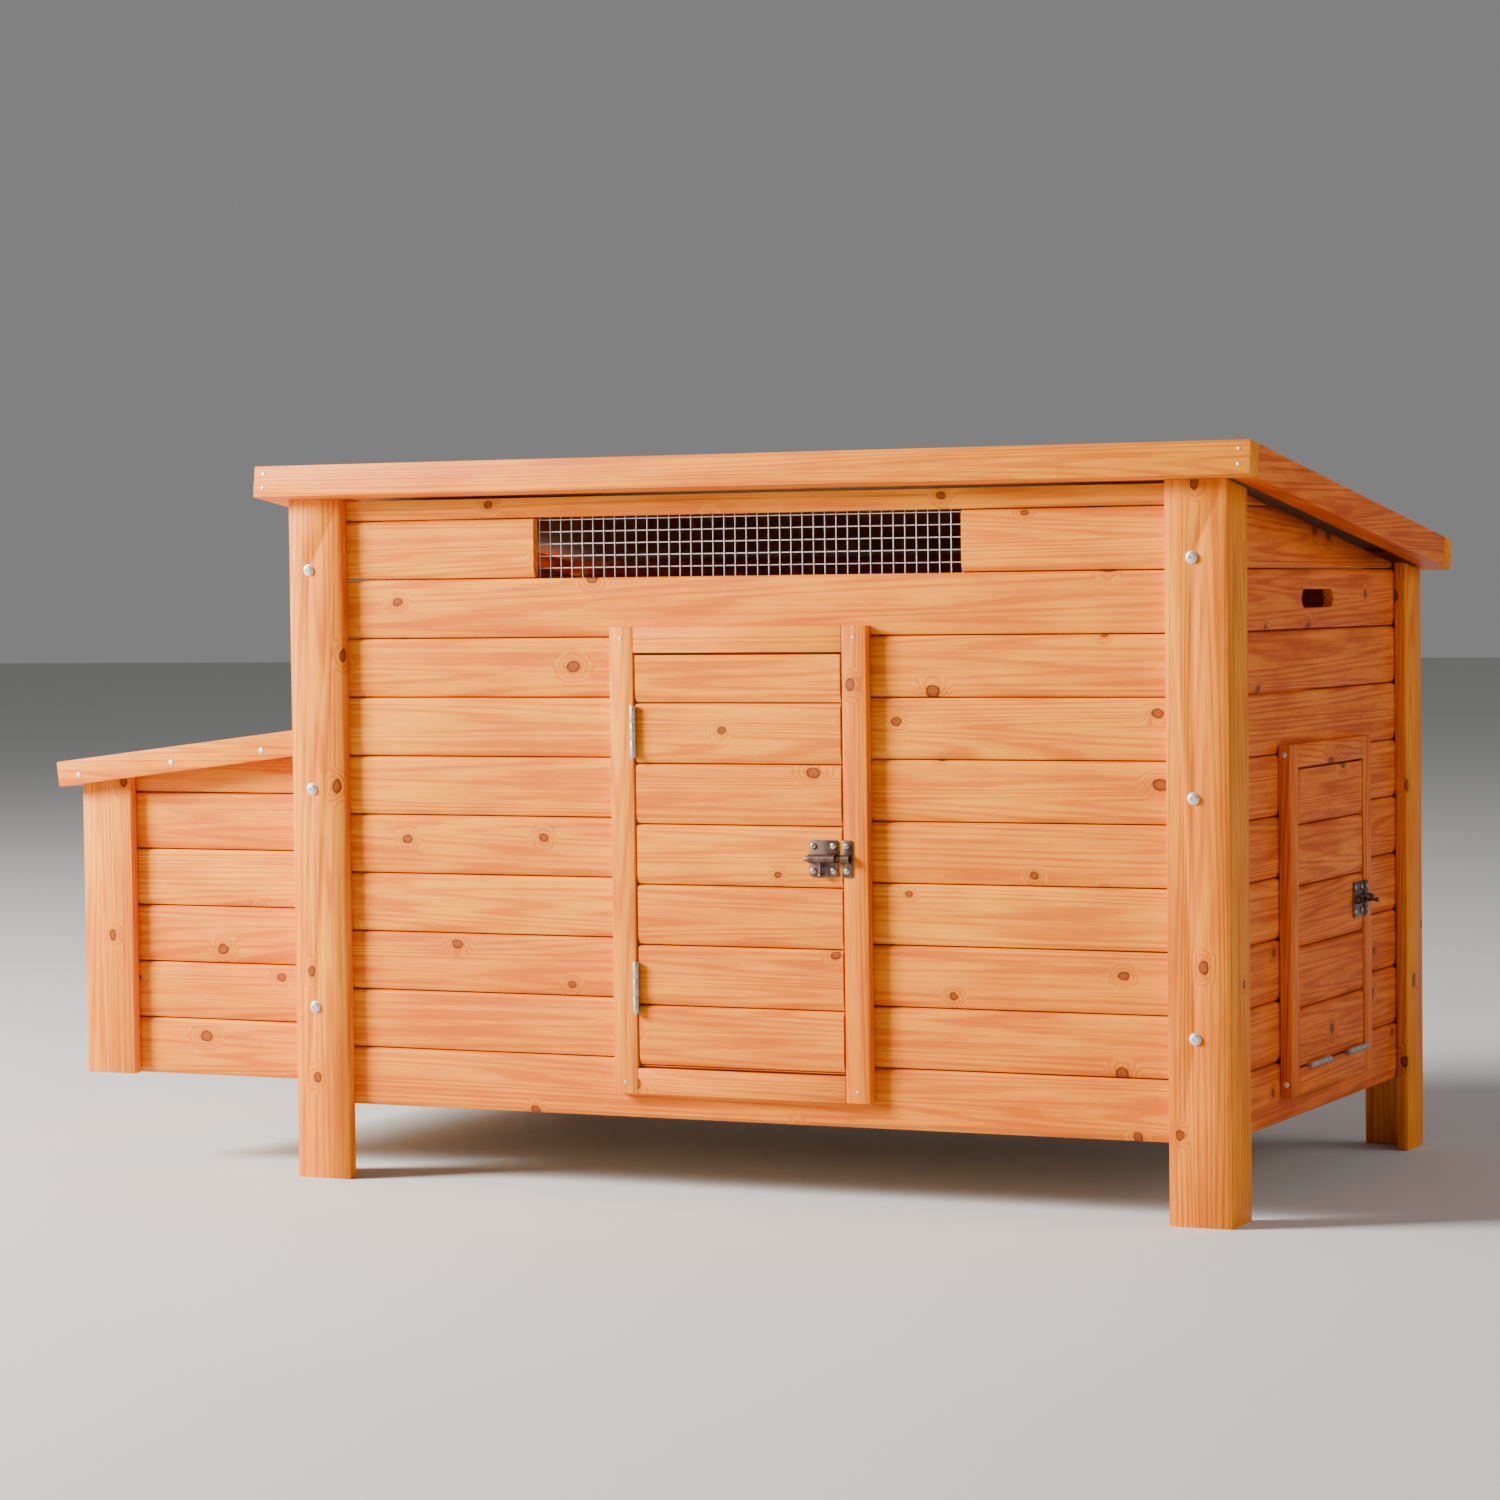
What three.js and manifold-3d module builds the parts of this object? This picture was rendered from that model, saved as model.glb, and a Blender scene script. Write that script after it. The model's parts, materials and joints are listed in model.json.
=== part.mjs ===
// A wooden chicken coop on four legs, with a framed front door, a drop-down pop door that
// serves as a ramp on the right-hand side, a mesh window, a hinged nest box on the left-hand
// side and a sloping lean-to roof. Millimetres, +Z up, front towards -Y.
// Inner frame: x = 0 midway between the posts, y = 0 on the front boards' face, z = 0 at the
// boards' lower edge. The exported group moves it to the middle of the coop's footprint.
import * as THREE from "three";
import { mergeVertices } from "three/addons/utils/BufferGeometryUtils.js";
import Module from "manifold-3d";

const wasm = await Module();
wasm.setup();

// ---- Driving dimensions ------------------------------------------------------------------
const GAP = 0.3; // between pieces that are nailed, glued or laid against each other
const RUNNING = 0.3; // round a pin or a sliding bolt

const HOUSE_WIDTH = 1063; // across the corner posts
const HOUSE_DEPTH = 672; // across the corner posts, front to back
const LEG_LENGTH = 80; // posts below the boards' lower edge

const BOARD_PITCH = 63; // visible height of one tongue-and-groove board
const BOARD_ROWS = 10; // whole rows in the front wall, the window's row on top
const BOARD_THICK = 10;
const HEAD_HEIGHT = 23; // the cut board above the window's row
const GROOVE_DEPTH = 3;
const GROOVE_ABOVE = 9; // rounded lower edge of the board above a seam
const GROOVE_BELOW = 3; // rounded upper edge of the board below a seam

const TRIM_THICK = 13; // boards nailed over the planking: posts and door surrounds
const POST_WIDTH = 64;
const POST_DEPTH = 62;

const FLOOR_HEIGHT = 30;
const FLOOR_THICK = 12;

const DOOR_GAP = 2.5; // round each door, and where the hinge leaves lie
const DOOR_STOP = 9; // the planking's reach behind each door's edge
const LEDGE_THICK = 12;
const LEDGE_HEIGHT = 40;
const LEDGE_END = 14; // from the ledge's end to the door's edge
const LEDGE_INSET = 52; // from the ledge's middle to the door's top or bottom edge

const FRONT_DOOR = {
  centre: 1,
  width: 238,
  bottom: 54,
  height: 433.5,
  stile: 27,
  railAbove: 27,
  railBelow: 27,
  hingeLength: 54,
  boardStart: 57.5,
};
const FRONT_HINGE_HEIGHTS = [138.5, 405.5];
const FRONT_LATCH_HEIGHT = 277;

const POP_DOOR = {
  centre: 322.5,
  width: 227,
  bottom: 54,
  height: 309.5,
  stile: 27.5,
  railAbove: 24,
  railBelow: 27,
  hingeLength: 64,
  boardStart: 52,
};
const POP_HINGE_OFFSETS = [-54, 77]; // along the door's bottom edge from its middle
const POP_LATCH_HEIGHT = 214;

const LEAF_THICK = 0.8;
const LEAF_DEPTH = 10;
const KNUCKLE_R = 3.2;
const HINGE_PIN_R = 1.3;

const BOLT = {
  plateWidth: 32,
  plateHeight: 38,
  sheet: 1.2,
  barrelR: 4.4,
  rodR: 2.8,
  axisOut: 5.6,
  leverR: 1.6,
  leverLength: 18,
  leverInset: 17.5, // from the plate's end to the lever
  travel: 10,
  rodPast: 4, // how far the rod stands out behind the barrel
  rodInKeep: 8,
  keepWidth: 12,
  keepLug: 1.6,
  plateInset: 3.5,
  keepOverhang: 1.5, // over the gap beside the door
};
const SLOT_SLACK = 1.4;

const WINDOW = { left: -240, right: 247, margin: 13 };
const MESH_PITCH = 12.7;
const MESH_WIRE = 1.1;
const MESH_SQUARES_UP = 6;
const MESH_DROP = 2.5; // from the window's lower edge down to the mesh's lowest wire

const SLOT = { centre: 319.5, height: 536, length: 108, width: 19.5 };

const SCREW = { headR: 5.3, headHeight: 3.4, shankR: 2.5 };
const SCREW_ABOVE = 106; // lowest post bolt above the boards' lower edge
const SCREW_BELOW = 74.5; // highest post bolt below the front wall's top
const SCREW_INSETS = { left: 24, right: 36 };

const ROOF_SLOPE = THREE.MathUtils.degToRad(7.5);
const ROOF_RAIL_HEIGHT = 34;
const ROOF_RAIL_THICK = 27;
const ROOF_DECK_THICK = 10;
const ROOF_FELT_THICK = 2;
const ROOF_EAVES = { front: 22.5, rear: 12, side: 31.5 };

const NEST = { reach: 298, inset: 23.5, bottom: 19 };
const NEST_FLOOR_THICK = 10;
const NEST_DIVIDER_THICK = 10;
const ENTRY = { width: 200, bottom: 82, height: 230 };
const LID_SLOPE = THREE.MathUtils.degToRad(6.8);
const LID_HEIGHT = 406; // the lid's upper edge
const LID_PANEL_THICK = 18;
const LID_BATTEN_HEIGHT = 28;
const LID_EAVES = { side: 17.5, end: 23 };
const LID_HINGE_GAP = 2.5;
const HINGE_RAIL_HEIGHT = 42;

// ---- Places worked out from them ---------------------------------------------------------
const postX = HOUSE_WIDTH / 2; // outer faces of the posts
const wallX = postX - TRIM_THICK; // outer faces of the side boards
const wallY = HOUSE_DEPTH - 2 * TRIM_THICK; // back boards' face
const midY = wallY / 2;
const frontHeight = BOARD_ROWS * BOARD_PITCH + HEAD_HEIGHT;
const roofBottomAt = (y) => frontHeight - y * Math.tan(ROOF_SLOPE);

const nestX = -postX - NEST.reach; // outer face of the nest's posts
const nestWallX = nestX + TRIM_THICK;
const nestFrontY = NEST.inset + TRIM_THICK; // nest's front boards' face
const nestDepth = wallY - 2 * nestFrontY;
const lidX = -postX - LID_HINGE_GAP; // the lid's upper end
const lidTopAt = (x) => LID_HEIGHT + (x - lidX) * Math.tan(LID_SLOPE);
const lidPanelBottomAt = (x) => lidTopAt(x) - LID_PANEL_THICK / Math.cos(LID_SLOPE);

// ---- Materials ---------------------------------------------------------------------------
const finish = (color, roughness, metalness) => () =>
  new THREE.MeshStandardMaterial({ color, roughness, metalness });
const board = finish(0xe39a55, 0.55, 0);
const trim = finish(0xe8a05c, 0.55, 0);
const plywood = finish(0xd8ae78, 0.7, 0);
const felt = finish(0x3f4642, 0.95, 0);
const zinc = finish(0xb9bcbf, 0.35, 0.9);
const brass = finish(0x7d7160, 0.45, 0.85);

// ---- Solids ------------------------------------------------------------------------------
function solid(geometry) {
  const bare = geometry.index ? geometry.toNonIndexed() : geometry.clone();
  bare.deleteAttribute("normal");
  bare.deleteAttribute("uv");
  const merged = mergeVertices(bare, 1e-4);
  return new wasm.Manifold(
    new wasm.Mesh({
      numProp: 3,
      vertProperties: merged.attributes.position.array,
      triVerts: new Uint32Array(merged.index.array),
    }),
  );
}

function surface(manifold) {
  const made = manifold.getMesh();
  const geometry = new THREE.BufferGeometry();
  geometry.setAttribute("position", new THREE.BufferAttribute(made.vertProperties, 3));
  geometry.setIndex(new THREE.BufferAttribute(made.triVerts, 1));
  const flat = geometry.toNonIndexed();
  flat.computeVertexNormals();
  return flat;
}

const cut = (geometry, ...tools) =>
  surface(tools.reduce((left, tool) => left.subtract(solid(tool)), solid(geometry)));
const join = (...parts) => surface(parts.map(solid).reduce((all, part) => all.add(part)));
const common = (a, b) => surface(solid(a).intersect(solid(b)));

// A block between two corners.
function block(x0, x1, y0, y1, z0, z1) {
  const geometry = new THREE.BoxGeometry(x1 - x0, y1 - y0, z1 - z0);
  return geometry.translate((x0 + x1) / 2, (y0 + y1) / 2, (z0 + z1) / 2);
}

const outlineOf = (points) => new THREE.Shape(points.map(([a, b]) => new THREE.Vector2(a, b)));

// An outline drawn in x and z, pushed through the thickness from y0 to y1.
function acrossY(shape, y0, y1, curveSegments = 6) {
  const geometry = new THREE.ExtrudeGeometry(shape, {
    depth: y1 - y0,
    bevelEnabled: false,
    curveSegments,
  });
  return geometry.rotateX(Math.PI / 2).translate(0, y1, 0);
}

// An outline drawn in y and z, pushed along x.
function alongX(shape, x0, x1) {
  const geometry = new THREE.ExtrudeGeometry(shape, { depth: x1 - x0, bevelEnabled: false });
  const toYZ = new THREE.Matrix4().makeBasis(
    new THREE.Vector3(0, 1, 0),
    new THREE.Vector3(0, 0, 1),
    new THREE.Vector3(1, 0, 0),
  );
  return geometry.applyMatrix4(toYZ).translate(x0, 0, 0);
}

// A round bar along x, y or z through a point.
function bar(axis, radius, from, to, a, b, sides = 16) {
  const geometry = new THREE.CylinderGeometry(radius, radius, to - from, sides);
  const middle = (from + to) / 2;
  if (axis === "x") return geometry.rotateZ(-Math.PI / 2).translate(middle, a, b);
  if (axis === "y") return geometry.translate(a, middle, b);
  return geometry.rotateX(Math.PI / 2).translate(a, b, middle);
}

function piece(name, geometry, material) {
  const mesh = new THREE.Mesh(geometry, material());
  mesh.name = name;
  return mesh;
}

// ---- Planking ----------------------------------------------------------------------------
// Boards lie one above another from z = start, their face at y = 0. The outline, drawn in x
// and z, is cut out of them, and each hole is cut through.
function planking(outline, start, ...holes) {
  const box = new THREE.Box2().setFromPoints(outline.getPoints());
  const first = Math.floor((box.min.y - start) / BOARD_PITCH) - 1;
  const last = Math.ceil((box.max.y - start) / BOARD_PITCH) + 1;
  const face = [];
  for (let row = first; row < last; row += 1) {
    const seam = start + row * BOARD_PITCH;
    face.push([GROOVE_DEPTH, seam]);
    face.push([0, seam + GROOVE_ABOVE]);
    face.push([0, seam + BOARD_PITCH - GROOVE_BELOW]);
  }
  const lowest = face[0][1];
  const highest = start + last * BOARD_PITCH;
  const profile = [[BOARD_THICK, lowest], ...face, [GROOVE_DEPTH, highest], [BOARD_THICK, highest]];
  const boards = alongX(outlineOf(profile.reverse()), box.min.x - 1, box.max.x + 1);
  const through = [-1, BOARD_THICK + 1];
  const panel = common(acrossY(outline, ...through), boards);
  return cut(panel, ...holes.map((hole) => acrossY(hole, ...through)));
}

function rectangle(x0, x1, z0, z1) {
  return [
    [x0, z0],
    [x1, z0],
    [x1, z1],
    [x0, z1],
  ];
}

// A slot with round ends.
function slotHole(x, z) {
  const r = SLOT.width / 2;
  const steps = 6;
  const points = [];
  for (const side of [1, -1]) {
    for (let step = 0; step <= steps; step += 1) {
      const angle = -Math.PI / 2 + (Math.PI * step) / steps;
      points.push([
        x + side * (SLOT.length / 2 - r + r * Math.cos(angle)),
        z + side * r * Math.sin(angle),
      ]);
    }
  }
  return outlineOf(points);
}

// The hole in the planking behind a door: its edges are the door's stop.
function doorway(door) {
  const half = door.width / 2 - DOOR_STOP;
  const low = door.bottom + DOOR_STOP;
  const high = door.bottom + door.height - DOOR_STOP;
  return outlineOf(rectangle(door.centre - half, door.centre + half, low, high));
}

// ---- Doors, hinges and bolts: one set of parts serves both doors ----------------------------
// Each is drawn as on a wall that faces -y, its boards' face at y = 0.
function surround(name, door, sides) {
  const half = door.width / 2;
  const top = door.bottom + door.height;
  const [left, right] = [door.centre - half, door.centre + half];
  const foot = door.bottom - door.railBelow;
  const head = top + door.railAbove;
  const depth = [-TRIM_THICK, -GAP];
  return [
    piece(`${name}_stile_${sides[0]}`, block(left - door.stile, left, ...depth, foot, head), trim),
    piece(
      `${name}_stile_${sides[1]}`,
      block(right, right + door.stile, ...depth, foot, head),
      trim,
    ),
    piece(`${name}_rail_top`, block(left + GAP, right - GAP, ...depth, top, head), trim),
    piece(
      `${name}_rail_bottom`,
      block(left + GAP, right - GAP, ...depth, foot, door.bottom),
      trim,
    ),
  ];
}

function doorPanel(name, door) {
  const half = door.width / 2 - DOOR_GAP;
  const low = door.bottom + DOOR_GAP;
  const high = door.bottom + door.height - DOOR_GAP;
  const outline = outlineOf(rectangle(door.centre - half, door.centre + half, low, high));
  const geometry = planking(outline, door.boardStart);
  return piece(name, geometry.translate(0, -TRIM_THICK + 1, 0), board);
}

// The face of a door's boards, and of its fittings.
const doorFace = -TRIM_THICK + 1;

function ledge(name, door, height) {
  const half = door.width / 2 - DOOR_GAP - LEDGE_END;
  const back = doorFace + BOARD_THICK + GAP;
  const [low, high] = [height - LEDGE_HEIGHT / 2, height + LEDGE_HEIGHT / 2];
  const geometry = block(
    door.centre - half,
    door.centre + half,
    back,
    back + LEDGE_THICK,
    low,
    high,
  );
  return piece(name, geometry, trim);
}

// A butt hinge with its pin along z through the origin: the fixed leaf towards -x with the pin
// and the outer knuckles, the moving leaf towards +x with the middle knuckle.
function buttHinge(name, length) {
  const third = length / 3;
  const ends = [-length / 2, length / 2];
  const inner = [-third / 2, third / 2];
  const leafInside = DOOR_GAP / 2 - GAP;
  const leafStart = KNUCKLE_R + GAP;
  const leafAt = (side, y0, y1, z0, z1) => {
    const x = [side * leafInside, side * (leafInside - LEAF_THICK)].sort((a, b) => a - b);
    return block(...x, y0, y1, z0, z1);
  };
  const fixed = join(
    leafAt(-1, leafStart, leafStart + LEAF_DEPTH, ...ends),
    leafAt(-1, 1, leafStart + 1, ends[0], inner[0] - GAP),
    leafAt(-1, 1, leafStart + 1, inner[1] + GAP, ends[1]),
    bar("z", KNUCKLE_R, ends[0], inner[0] - GAP, 0, 0),
    bar("z", KNUCKLE_R, inner[1] + GAP, ends[1], 0, 0),
    bar("z", HINGE_PIN_R, ...ends, 0, 0),
  );
  const knuckle = cut(
    join(leafAt(1, 1, leafStart + 1, ...inner), bar("z", KNUCKLE_R, ...inner, 0, 0)),
    bar("z", HINGE_PIN_R + RUNNING, 2 * ends[0], 2 * ends[1], 0, 0),
  );
  const moving = join(leafAt(1, leafStart, leafStart + LEAF_DEPTH, ...ends), knuckle);
  return [
    piece(`${name}_fixed_leaf`, fixed, zinc),
    piece(`${name}_moving_leaf`, moving, zinc),
  ];
}

// Where a hinge's pin stands in front of the surround's face.
const pinOut = -TRIM_THICK - KNUCKLE_R;

// A barrel bolt whose rod slides along x. The plate ends at x = 0 by the door's edge; the keep
// stands across the gap. leverDown is the lever's way out: straight down or straight forward.
function barrelBolt(name, leverDown) {
  const out = -BOLT.axisOut;
  const keepLeft = BOLT.plateInset + DOOR_GAP - BOLT.keepOverhang;
  const keepRight = keepLeft + BOLT.keepWidth;
  const plate = block(
    -BOLT.plateWidth,
    0,
    -BOLT.sheet,
    0,
    -BOLT.plateHeight / 2,
    BOLT.plateHeight / 2,
  );
  const saddle = block(-BOLT.plateWidth, 0, out, -BOLT.sheet / 2, -BOLT.barrelR, BOLT.barrelR);
  const bore = bar("x", BOLT.rodR + RUNNING, -2 * BOLT.plateWidth, BOLT.plateWidth, out, 0);
  const leverX = -BOLT.leverInset;
  const slotReach = BOLT.leverR + SLOT_SLACK;
  const [slotLeft, slotRight] = [leverX - BOLT.travel - slotReach, leverX + slotReach];
  const far = BOLT.barrelR + 1;
  const slot = leverDown
    ? block(slotLeft, slotRight, out - slotReach, out + slotReach, -far, 0)
    : block(slotLeft, slotRight, out - far, out, -slotReach, slotReach);
  const barrel = cut(
    join(plate, saddle, bar("x", BOLT.barrelR, -BOLT.plateWidth, 0, out, 0)),
    bore,
    slot,
  );
  const rodEnds = [-BOLT.plateWidth - BOLT.rodPast, keepLeft + BOLT.rodInKeep];
  const lever = leverDown
    ? bar("z", BOLT.leverR, -BOLT.leverLength, 0, leverX, out, 12)
    : bar("y", BOLT.leverR, out - BOLT.leverLength, out, leverX, 0, 12);
  const knob = new THREE.SphereGeometry(BOLT.leverR * 1.6, 10, 8);
  if (leverDown) knob.translate(leverX, out, -BOLT.leverLength);
  else knob.translate(leverX, out - BOLT.leverLength, 0);
  const rod = join(bar("x", BOLT.rodR, ...rodEnds, out, 0), lever, knob);
  const cheek = BOLT.rodR + RUNNING;
  const keep = join(
    block(keepLeft, keepRight, -BOLT.sheet, 0, -BOLT.plateHeight / 2, BOLT.plateHeight / 2),
    block(keepLeft, keepRight, out - BOLT.rodR, -BOLT.sheet / 2, cheek, cheek + BOLT.keepLug),
    block(keepLeft, keepRight, out - BOLT.rodR, -BOLT.sheet / 2, -cheek - BOLT.keepLug, -cheek),
  );
  return [
    piece(`${name}_latch_barrel`, barrel, brass),
    piece(`${name}_latch_bolt`, rod, brass),
    piece(`${name}_latch_keep`, keep, brass),
  ];
}

// Places a bolt's parts: plate and rod on the door's face, keep on the surround's.
function placeBolt(parts, door, height) {
  const edge = door.centre + door.width / 2 - DOOR_GAP - BOLT.plateInset;
  const [barrel, rod, keep] = parts;
  barrel.position.set(edge, doorFace - GAP, height);
  rod.position.set(edge, doorFace - GAP, height);
  keep.position.set(edge, -TRIM_THICK - GAP, height);
  return parts;
}

// ---- House: walls, posts, floor ------------------------------------------------------------
const highest = frontHeight - SCREW_BELOW;
const screwHeights = { low: SCREW_ABOVE, middle: (SCREW_ABOVE + highest) / 2, high: highest };
const screwPlaces = Object.entries(SCREW_INSETS).flatMap(([side, inset]) =>
  Object.entries(screwHeights).map(([level, z]) => ({
    name: `post_bolt_${side}_${level}`,
    x: side === "left" ? -postX + inset : postX - inset,
    z,
  })),
);
const screwHoles = screwPlaces.map(({ x, z }) =>
  bar("y", SCREW.shankR + RUNNING, -2 * TRIM_THICK, 2 * TRIM_THICK, x, z, 12),
);

function frontWall() {
  const windowLow = (BOARD_ROWS - 1) * BOARD_PITCH;
  const window = outlineOf(
    rectangle(WINDOW.left, WINDOW.right, windowLow, windowLow + BOARD_PITCH),
  );
  const outline = outlineOf(rectangle(-wallX, wallX, 0, roofBottomAt(BOARD_THICK) - GAP));
  const panel = planking(outline, 0, doorway(FRONT_DOOR), window);
  return piece("front_wall", cut(panel, ...screwHoles), board);
}

function backWall() {
  const outline = outlineOf(rectangle(-wallX, wallX, 0, roofBottomAt(wallY) - GAP));
  return piece("back_wall", planking(outline, 0), board);
}

// A side wall drawn in its own frame, from left to right as seen from outside.
function sideWall(name, heightAt, ...holes) {
  const near = BOARD_THICK + GAP;
  const far = wallY - near;
  const outline = outlineOf([
    [near, 0],
    [far, 0],
    [far, heightAt(far) - GAP],
    [near, heightAt(near) - GAP],
  ]);
  return piece(name, planking(outline, 0, ...holes), board);
}

// A corner post: two boards nailed into an L, cut off under the roof.
function cornerPost(name, side, end) {
  const front = end === "front";
  const outer = front ? -TRIM_THICK : wallY;
  const faceBoard = block(
    postX - POST_WIDTH,
    postX,
    outer,
    outer + TRIM_THICK - GAP,
    -LEG_LENGTH,
    frontHeight + POST_DEPTH,
  );
  const inward = POST_DEPTH - TRIM_THICK;
  const sideBoard = block(
    wallX + GAP,
    postX,
    front ? -TRIM_THICK / 2 : wallY - inward,
    front ? inward : wallY + TRIM_THICK / 2,
    -LEG_LENGTH,
    frontHeight + POST_DEPTH,
  );
  const lShape = join(
    front ? faceBoard : faceBoard.translate(0, GAP, 0),
    sideBoard,
  );
  const sky = alongX(
    outlineOf([
      [-HOUSE_DEPTH, roofBottomAt(-HOUSE_DEPTH) - GAP],
      [2 * HOUSE_DEPTH, roofBottomAt(2 * HOUSE_DEPTH) - GAP],
      [2 * HOUSE_DEPTH, 2 * frontHeight],
      [-HOUSE_DEPTH, 2 * frontHeight],
    ]),
    -HOUSE_WIDTH,
    HOUSE_WIDTH,
  );
  const post = side === "left" ? mirrored(cut(lShape, sky), "x") : cut(lShape, sky);
  return piece(name, front ? cut(post, ...screwHoles) : post, trim);
}

// Mirrors a surface along one axis and keeps its faces outwards.
function mirrored(geometry, axis) {
  const normal = axis === "x" ? [1, 0, 0] : [0, 1, 0];
  return surface(solid(geometry).mirror(normal));
}

function postBolt({ name, x, z }) {
  const length = TRIM_THICK + BOARD_THICK;
  const profile = [
    [0, -SCREW.headHeight],
    [SCREW.headR * 0.55, -SCREW.headHeight * 0.85],
    [SCREW.headR * 0.9, -SCREW.headHeight * 0.4],
    [SCREW.headR, 0],
    [SCREW.shankR, 0],
    [SCREW.shankR, length],
    [0, length],
  ];
  const points = profile.map(([r, y]) => new THREE.Vector2(r, y));
  const mesh = piece(name, new THREE.LatheGeometry(points, 14), zinc);
  mesh.position.set(x, -TRIM_THICK - GAP, z);
  return mesh;
}

function windowMesh() {
  const low = (BOARD_ROWS - 1) * BOARD_PITCH - MESH_DROP;
  const high = low + MESH_SQUARES_UP * MESH_PITCH;
  const squares = Math.ceil((WINDOW.right - WINDOW.left + 2 * WINDOW.margin) / MESH_PITCH);
  const middle = (WINDOW.left + WINDOW.right) / 2;
  const left = middle - (squares * MESH_PITCH) / 2;
  const right = left + squares * MESH_PITCH;
  const edge = MESH_WIRE / 2;
  const front = BOARD_THICK + GAP;
  const welded = front + MESH_WIRE * 0.7; // the upright wires sink this far into the others
  const wires = [];
  for (let column = 0; column <= squares; column += 1) {
    const x = left + column * MESH_PITCH;
    wires.push(block(x - edge, x + edge, front, front + MESH_WIRE, low - 2, high + 2));
  }
  for (let row = 0; row <= MESH_SQUARES_UP; row += 1) {
    const z = low + row * MESH_PITCH;
    wires.push(block(left - 2, right + 2, welded, welded + MESH_WIRE, z - edge, z + edge));
  }
  return piece("window_mesh", join(...wires), zinc);
}

function floorPanel() {
  const x = wallX - BOARD_THICK - GAP;
  const [front, back] = [BOARD_THICK + GAP, wallY - BOARD_THICK - GAP];
  const geometry = block(-x, x, front, back, FLOOR_HEIGHT, FLOOR_HEIGHT + FLOOR_THICK);
  return piece("floor_panel", geometry, plywood);
}

// ---- Roof: a flat frame of four rails round a felted deck, tilted on the walls --------------
function roof() {
  const slopeLength = (y) => y / Math.cos(ROOF_SLOPE);
  const front = -slopeLength(TRIM_THICK + ROOF_EAVES.front);
  const rear = slopeLength(wallY + TRIM_THICK + ROOF_EAVES.rear);
  const side = postX + ROOF_EAVES.side;
  const thick = ROOF_RAIL_THICK;
  const top = ROOF_RAIL_HEIGHT;
  const inside = [front + thick + GAP, rear - thick - GAP];
  const inner = side - thick - GAP;
  const deckTop = top - ROOF_FELT_THICK - 1;
  const group = new THREE.Group();
  group.add(
    piece("roof_rail_front", block(-side, side, front, front + thick, 0, top), trim),
    piece("roof_rail_rear", block(-side, side, rear - thick, rear, 0, top), trim),
    piece("roof_rail_left", block(-side, -side + thick, ...inside, 0, top), trim),
    piece("roof_rail_right", block(side - thick, side, ...inside, 0, top), trim),
    piece(
      "roof_deck",
      block(-inner, inner, ...inside, deckTop - ROOF_DECK_THICK, deckTop),
      plywood,
    ),
    piece(
      "roof_felt",
      block(-inner, inner, ...inside, deckTop + GAP, deckTop + ROOF_FELT_THICK),
      felt,
    ),
  );
  group.rotation.x = -ROOF_SLOPE;
  group.position.z = frontHeight;
  return group;
}

// ---- Nest box ------------------------------------------------------------------------------
// The nest's front or back wall, its top cut to the lid's slope.
function nestSlopedWall(x0, x1) {
  return [
    [x0, NEST.bottom],
    [x1, NEST.bottom],
    [x1, lidPanelBottomAt(x1) - GAP],
    [x0, lidPanelBottomAt(x0) - GAP],
  ];
}

function nestPost(name, front) {
  const face = front ? NEST.inset : wallY - NEST.inset - TRIM_THICK;
  const [left, right] = [nestX, nestX + POST_WIDTH];
  const inward = POST_DEPTH - TRIM_THICK;
  const faceBoard = acrossY(
    outlineOf(nestSlopedWall(left, right)),
    front ? face : face + GAP,
    front ? face + TRIM_THICK - GAP : face + TRIM_THICK,
  );
  const sideBoard = acrossY(
    outlineOf(nestSlopedWall(left, left + TRIM_THICK - GAP)),
    front ? face + 1 : face - inward,
    front ? face + TRIM_THICK + inward : face + TRIM_THICK - 1,
  );
  return piece(name, join(faceBoard, sideBoard), trim);
}

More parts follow.
